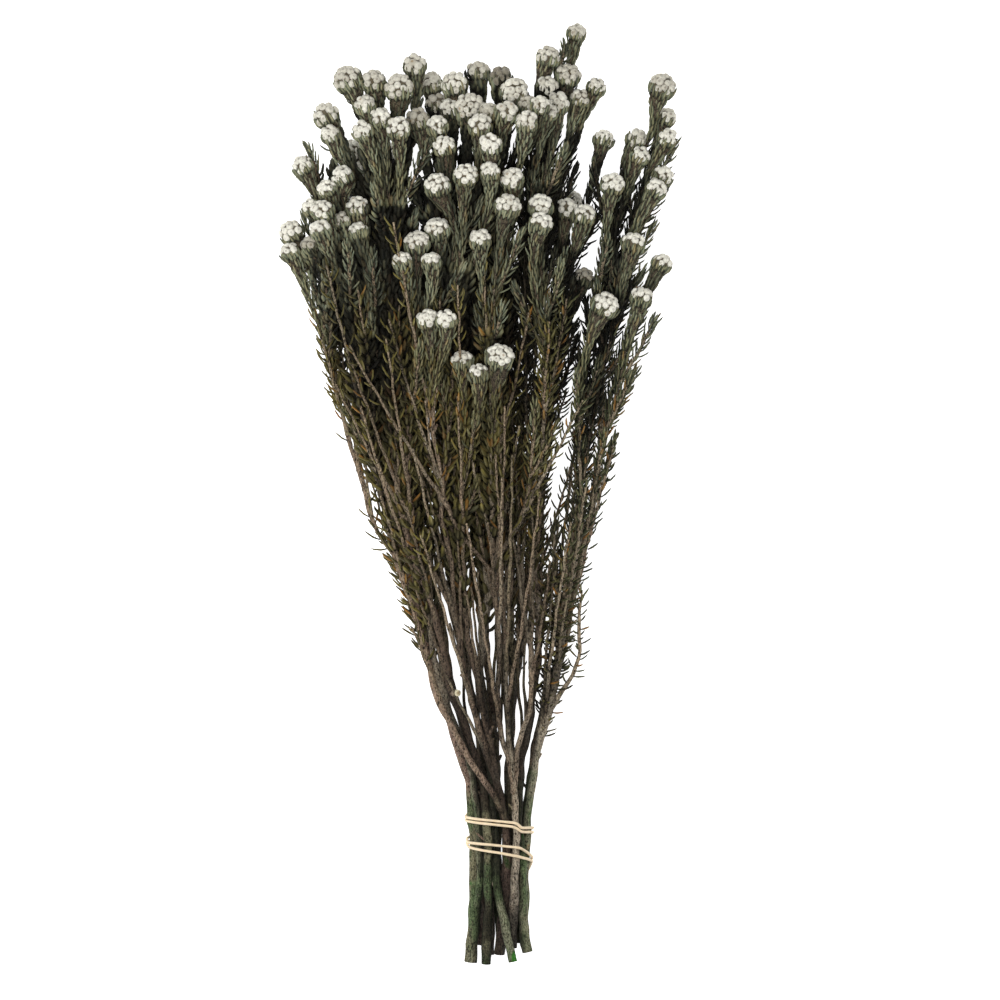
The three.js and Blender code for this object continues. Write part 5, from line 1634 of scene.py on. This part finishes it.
def leaf_material(settings):
    """Leaves that are silvery near the heads and golden olive to brown below, darker and greener on
    the right, with a pale line along the back that is partly a painted highlight, some dark leaves at
    random, painted shade at their feet and deep in the bunch, and tips and odd leaves dried to ochre."""
    graph = Graph("leaves", Specular_IOR_Level=0.25)
    along, back = graph.mark("along"), graph.mark("back")
    age, tone = graph.mark("age"), graph.mark("tone")
    patches = graph.noise((0.045, 0.02, 0.045), 2)
    grain = graph.noise((2.2, 1.4, 2.2), 2)
    across = graph.axis("X")
    old = (age + (patches - 0.5) * 1.0).kept()
    green = graph.mix(old, settings.silver_leaf, settings.olive_leaf)
    right = across.step(25, 70) * 0.84 + 0.16
    green = graph.mix(right * (0.4 + old * 0.5), green, settings.deep_leaf)
    dry = (tone.step(0.84, 0.97) * (0.25 + old * 0.75)).kept()
    leaf = graph.mix(dry * 0.85, green, settings.dry_leaf)
    leaf = graph.mix((1 - tone.step(0.05, 0.75)) * 0.62, leaf, settings.dark_and_shaded_leaf)
    # A pale line along the keel: partly the pale midrib, partly a painted highlight
    rib_and_highlight = back.step(0.55, 0.95) * (1 - (along - 0.5).size() * 1.6).kept()
    leaf = graph.mix(rib_and_highlight * 0.5, leaf, settings.rib_and_highlight)
    leaf = graph.mix(along.step(0.8, 1.0) * 0.5, leaf, settings.tip)
    # Painted shade at each leaf's foot
    leaf = graph.mix((1 - along.step(0.0, 0.34)) * 0.8, leaf, settings.dark_and_shaded_leaf)
    leaf = graph.mix(grain.step(0.62, 0.75) * 0.25, leaf, settings.silver_leaf)
    # Painted shade: near black deep in the bunch and on some shoots at random
    leaf = graph.mix(graph.mark("deep") * 0.95, leaf, settings.painted_shade_leaf)
    return graph.finish(leaf, 0.66 + grain * 0.25, grain + rib_and_highlight * 0.4, 0.18)


def felt_material(settings):
    """White felted buds: soft down, with painted shade towards their feet and on heads deep in the
    bunch or high up, a dimple that is brownish in many and ochre in a few, over a core painted darker
    as shade."""
    graph = Graph("felt", Specular_IOR_Level=0.15, Sheen_Weight=0.2, Sheen_Roughness=0.6)
    rise, dimple, tone = graph.mark("rise"), graph.mark("dimple"), graph.mark("tone")
    grey, shaded_core = graph.mark("grey"), graph.mark("core")
    down = graph.noise((3.2, 3.2, 3.2), 3, 0.7)
    patches = graph.noise((0.5, 0.5, 0.5), 2)
    # Painted shade: heads deep in the bunch or high up turn towards grey felt, with some random tone
    # and patches
    dull = (grey + (tone - 0.5) * 0.35 + (patches - 0.5) * 0.5).kept()
    felt = graph.mix(dull, settings.white_felt, settings.grey_and_shaded_felt)
    felt = graph.mix(down.step(0.35, 0.7) * 0.35, felt, settings.shaded_felt)
    felt = graph.mix(1 - rise.step(-0.45, 0.42), felt, settings.shaded_felt)
    open_bud = tone.step(0.94, 0.96)
    eye = graph.mix(open_bud, settings.eye, settings.open_eye)
    felt = graph.mix(dimple.step(0.2, 0.9) * (0.12 + tone * 0.45), felt, eye)
    # The core under the buds, painted darker as shade
    felt = graph.mix(shaded_core, felt, settings.shaded_core)
    # Painted shade: the most shaded heads are darker still
    felt = graph.mix((grey - 0.62).kept() * 0.9, felt, paint("#3d382f"))
    return graph.finish(felt, 0.85 + down * 0.12, down, 0.3)


def elastic_material(settings):
    """Cream rubber with fine rubbed marks along it."""
    graph = Graph("elastic", Specular_IOR_Level=0.35)
    run = graph.mark("run")
    grain = graph.noise((1.8, 1.8, 1.8), 3)
    rubbed = graph.node("ShaderNodeTexNoise", {"noise_dimensions": "1D"}, {"W": run, "Scale": 0.4})
    colour = graph.mix((grain * 0.7 + rubbed * 0.5 - 0.3).kept(), settings.worn, settings.colour)
    return graph.finish(colour, 0.5 + grain * 0.2, grain, 0.12)


def floor_material(settings):
    """Plain pale paper with a faint tooth."""
    graph = Graph("floor_paper", Specular_IOR_Level=0.1)
    tooth = graph.noise((0.8, 0.8, 0.8), 2)
    graph.feed(graph.surface.inputs["Emission Color"], settings.floor)
    graph.surface.inputs["Emission Strength"].default_value = settings.glow
    colour = graph.mix(tooth * 0.04, settings.floor, paint("#d8d8d6"))
    return graph.finish(colour, 0.9 + tooth * 0.05, tooth, 0.05)


def colour_property(name, description, code):
    """A colour that the user may change, with its default given as #rrggbb."""
    given = {"name": name, "description": description, "default": paint(code)}
    return FloatVectorProperty(subtype="COLOR", size=3, min=0, max=1, **given)


def length_property(name, description, millimetres):
    """A length that the user may change, with its default given in mm."""
    given = {"name": name, "description": description, "default": millimetres * MM}
    return FloatProperty(subtype="DISTANCE", unit="LENGTH", **given)


class WoodSettings(PropertyGroup):
    """How the stems look."""

    dark_bark: colour_property("Dark bark", "Bark in its hollows", "#1d1712")
    pale_bark: colour_property("Grey bark", "Ridges of grey bark", "#c8bba6")
    red_bark: colour_property("Reddish bark", "Ridges of reddish bark", "#ad8f7e")
    olive_bark: colour_property("Olive bark", "Ridges of olive bark", "#aba27f")
    young_wood: colour_property("Young wood", "Thin upper twigs", "#b9a686")
    # Painted shade: the colour of bark deep in the bunch
    painted_shade_bark: colour_property("Inner bark", "Bark deep in the bunch", "#0c0a07")
    dark_dye: colour_property("Dark dye", "Dyed bark in its hollows", "#131b0f")
    pale_dye: colour_property("Pale dye", "Dyed bark on its ridges", "#6e7e57")
    vivid_dye: colour_property("Vivid dye", "Where the dye is strongest", "#2b761a")
    dye_top: length_property("Dye top", "The y up to which the stems are dyed", -168)


class LeafSettings(PropertyGroup):
    """The leaves' size and colours."""

    length: length_property("Length", "Length of a usual leaf", 9.8)
    width: length_property("Width", "Greatest width of a usual leaf", 1.7)
    silver_leaf: colour_property("Silver leaf", "Young leaves near the heads", "#858c76")
    olive_leaf: colour_property("Olive leaf", "Old leaves lower down", "#776c33")
    deep_leaf: colour_property("Green leaf", "Leaves on the right side", "#3a4733")
    # Painted shade: the colour of leaves deep in the bunch
    painted_shade_leaf: colour_property("Inner leaf", "Leaves deep in the bunch", "#080705")
    # Dark leaves at random, and painted shade at the leaves' feet
    dark_and_shaded_leaf: colour_property("Dark leaf", "Edges and feet of the leaves", "#15140d")
    dry_leaf: colour_property("Dry leaf", "Odd leaves that dried to ochre", "#93642a")
    # The pale line along the keel, partly a painted highlight
    rib_and_highlight: colour_property("Rib", "The pale line along the back", "#b9ae80")
    tip: colour_property("Tip", "The leaves' tips", "#8c7a4a")


class HeadSettings(PropertyGroup):
    """The heads' buds and their colours."""

    bud_radius: length_property("Bud radius", "Radius of a usual bud", 2.38)
    crowding: FloatProperty(
        name="Crowding",
        description="Share of a head's dome that its buds would cover",
        subtype="FACTOR",
        min=0.3,
        max=1.5,
        default=1.15,
    )
    white_felt: colour_property("White felt", "Buds in front", "#fbf8ea")
    # Grey felt at random, and painted shade on heads deep in the bunch or high up
    grey_and_shaded_felt: colour_property("Grey felt", "Buds of heads at the back", "#a8a08c")
    shaded_felt: colour_property("Shaded felt", "Between the buds", "#4b4335")
    eye: colour_property("Eye", "The dimple of a closed bud", "#6a5a48")
    open_eye: colour_property("Open eye", "The dimple of an open bud", "#8a6a38")
    # Painted shade: the head's core between the buds
    shaded_core: colour_property("Flesh", "The head under its buds", "#5f5745")


class TieSettings(PropertyGroup):
    """The elastic tie."""

    strand_radius: length_property("Strand radius", "Radius of one strand", 0.85)
    colour: colour_property("Colour", "Clean rubber", "#fff1d8")
    worn: colour_property("Worn", "Rubbed rubber", "#e8cfa6")


class StageSettings(PropertyGroup):
    """The floor and the lights."""

    floor: colour_property("Floor", "The paper under the bunch", "#fafafa")
    glow: FloatProperty(
        name="Glow", description="Light that the paper gives by itself", min=0, default=1.0
    )
    key: FloatProperty(
        name="Key light", description="Watts of the large light", unit="POWER", min=0, default=42
    )
    fill: FloatProperty(
        name="Fill light", description="Watts of the two side lights", unit="POWER", default=4.5
    )
    sky: FloatProperty(
        name="Room light", description="Light from all round", min=0, default=0.02
    )


class PhylicaStep:
    """What the operators share."""

    bl_options = {"REGISTER", "UNDO"}

    @staticmethod
    def random(piece, b=0):
        """Random numbers that are the same each run."""
        return np.random.default_rng([piece, b])


class PHYLICA_OT_wood(PhylicaStep, Operator):
    """Make the stems, forks and stubs of every branch"""

    bl_idname = "phylica.wood"
    bl_label = "Make wood"

    def execute(self, context):
        _, routes = layout()
        settings = context.scene.phylica_wood
        material = bark_material(settings)
        for b in range(len(BRANCHES)):
            surface = make_wood(b, routes, self.random(1, b))
            name, node = f"wood_{b + 1:02d}", f"branch_{b + 1:02d}"
            surface.piece(name, material, "stems_and_leaves", [node])
        return {"FINISHED"}


class PHYLICA_OT_leaves(PhylicaStep, Operator):
    """Make the leaves of every branch"""

    bl_idname = "phylica.leaves"
    bl_label = "Make leaves"

    def execute(self, context):
        heads, routes = layout()
        settings = context.scene.phylica_leaves
        material = leaf_material(settings)
        for b in range(len(BRANCHES)):
            surface = make_leaves(b, heads, routes, settings, self.random(2, b))
            name, node = f"leaves_{b + 1:02d}", f"branch_{b + 1:02d}"
            surface.piece(name, material, "stems_and_leaves", [node])
        return {"FINISHED"}


class PHYLICA_OT_heads(PhylicaStep, Operator):
    """Make the felted heads of every branch"""

    bl_idname = "phylica.heads"
    bl_label = "Make heads"

    def execute(self, context):
        heads, _ = layout()
        settings = context.scene.phylica_heads
        material = felt_material(settings)
        for b in range(len(BRANCHES)):
            surface = make_heads(b, heads, settings, self.random(3, b))
            nodes = [head.node for head in heads if head.branch == b and head.node]
            if any(head.branch == b and not head.node for head in heads):
                nodes.append(f"branch_{b + 1:02d}")
            surface.piece(f"heads_{b + 1:02d}", material, "felted_heads", nodes)
        return {"FINISHED"}


class PHYLICA_OT_tie(PhylicaStep, Operator):
    """Make the elastic tie round the stems"""

    bl_idname = "phylica.tie"
    bl_label = "Make tie"

    def execute(self, context):
        _, routes = layout()
        settings = context.scene.phylica_tie
        surface = make_tie(routes, settings, self.random(4))
        surface.piece("elastic_tie", elastic_material(settings), "elastic", ["tie"])
        return {"FINISHED"}


VIEW_ACROSS, VIEW_DOWN = 500, 500  # the pixel in the middle of the picture
PICTURE = 1000  # pixels across the picture
CAMERA_HEIGHT = 3.0
FLOOR_SIZE = 6.0
FLOOR_DROP = 0.0002
FLOOR_THICK = 0.5  # so that a low picture, which starts under the floor's top, is as pale


KEY_PLACE, KEY_SIZE = (-0.3, 0.05, 1.9), 1.5  # in metres
LEFT_PLACE, RIGHT_PLACE, FILL_SIZE = (-1.5, 0.2, 1.1), (1.5, 0.5, 1.2), 0.9
LIT_PLACE = (0, 0, 0.05)


def area_light(name, place, size, power):
    """A square light that shines from its place towards the bunch, in metres."""
    light = bpy.data.lights.new(name, "AREA")
    light.shape, light.size, light.energy = "SQUARE", size, power
    thing = bpy.data.objects.new(name, light)
    thing.location = place
    thing.rotation_euler = (Vector(LIT_PLACE) - Vector(place)).to_track_quat("-Z", "Y").to_euler()
    bpy.context.scene.collection.objects.link(thing)


class PHYLICA_OT_stage(PhylicaStep, Operator):
    """Set the floor, the lights and the camera straight above the bunch"""

    bl_idname = "phylica.stage"
    bl_label = "Set stage"

    def execute(self, context):
        settings = context.scene.phylica_stage
        scene = context.scene
        sheet = np.array([[-1, -1, 0], [1, -1, 0], [1, 1, 0], [-1, 1, 0]]) * FLOOR_SIZE / 2
        corners = np.concatenate([sheet - [0, 0, FLOOR_THICK], sheet]) - [0, 0, FLOOR_DROP]
        sides = [(k, (k + 1) % 4, (k + 1) % 4 + 4, k + 4) for k in range(4)]
        mesh = bpy.data.meshes.new("floor")
        mesh.from_pydata(corners.tolist(), [], [(4, 5, 6, 7), (3, 2, 1, 0), *sides])
        mesh.materials.append(floor_material(settings))
        floor = bpy.data.objects.new("floor", mesh)
        scene.collection.objects.link(floor)
        area_light("key", KEY_PLACE, KEY_SIZE, settings.key)
        area_light("fill_left", LEFT_PLACE, FILL_SIZE, settings.fill)
        area_light("fill_right", RIGHT_PLACE, FILL_SIZE, settings.fill)
        world = bpy.data.worlds.new("room")
        world.use_nodes = True
        light = world.node_tree.nodes["Background"].inputs
        light["Color"].default_value = (1, 1, 1, 1)
        light["Strength"].default_value = settings.sky
        scene.world = world
        scene.view_settings.view_transform = "Standard"
        lens = bpy.data.cameras.new("camera")
        lens.type, lens.ortho_scale = "ORTHO", PICTURE * SCALE * MM
        camera = bpy.data.objects.new("camera", lens)
        ((x, y, _),) = from_photo([VIEW_ACROSS, VIEW_DOWN, 0]) * MM
        camera.location = (x, y, CAMERA_HEIGHT)
        scene.collection.objects.link(camera)
        scene.camera = camera
        return {"FINISHED"}


SETTINGS = {
    "phylica_wood": WoodSettings,
    "phylica_leaves": LeafSettings,
    "phylica_heads": HeadSettings,
    "phylica_tie": TieSettings,
    "phylica_stage": StageSettings,
}
STEPS = ("wood", "leaves", "heads", "tie", "stage")


class PHYLICA_PT_panel(Panel):
    """The bunch's settings and the buttons that make it."""

    bl_idname = "PHYLICA_PT_panel"
    bl_label = "Dried phylica"
    bl_space_type = "VIEW_3D"
    bl_region_type = "UI"
    bl_category = "Phylica"

    def draw(self, context):
        for step in STEPS:
            box = self.layout.box()
            settings = getattr(context.scene, f"phylica_{step}")
            for key in settings.__annotations__:
                box.prop(settings, key)
            box.operator(f"phylica.{step}")


CLASSES = (
    *SETTINGS.values(),
    PHYLICA_OT_wood,
    PHYLICA_OT_leaves,
    PHYLICA_OT_heads,
    PHYLICA_OT_tie,
    PHYLICA_OT_stage,
    PHYLICA_PT_panel,
)


def register():
    for one in CLASSES:
        bpy.utils.register_class(one)
    for name, group in SETTINGS.items():
        setattr(bpy.types.Scene, name, PointerProperty(type=group))


def unregister():
    for name in SETTINGS:
        delattr(bpy.types.Scene, name)
    for one in reversed(CLASSES):
        bpy.utils.unregister_class(one)


def main():
    register()
    for step in STEPS:
        getattr(bpy.ops.phylica, step)()


if __name__ == "__main__":
    main()
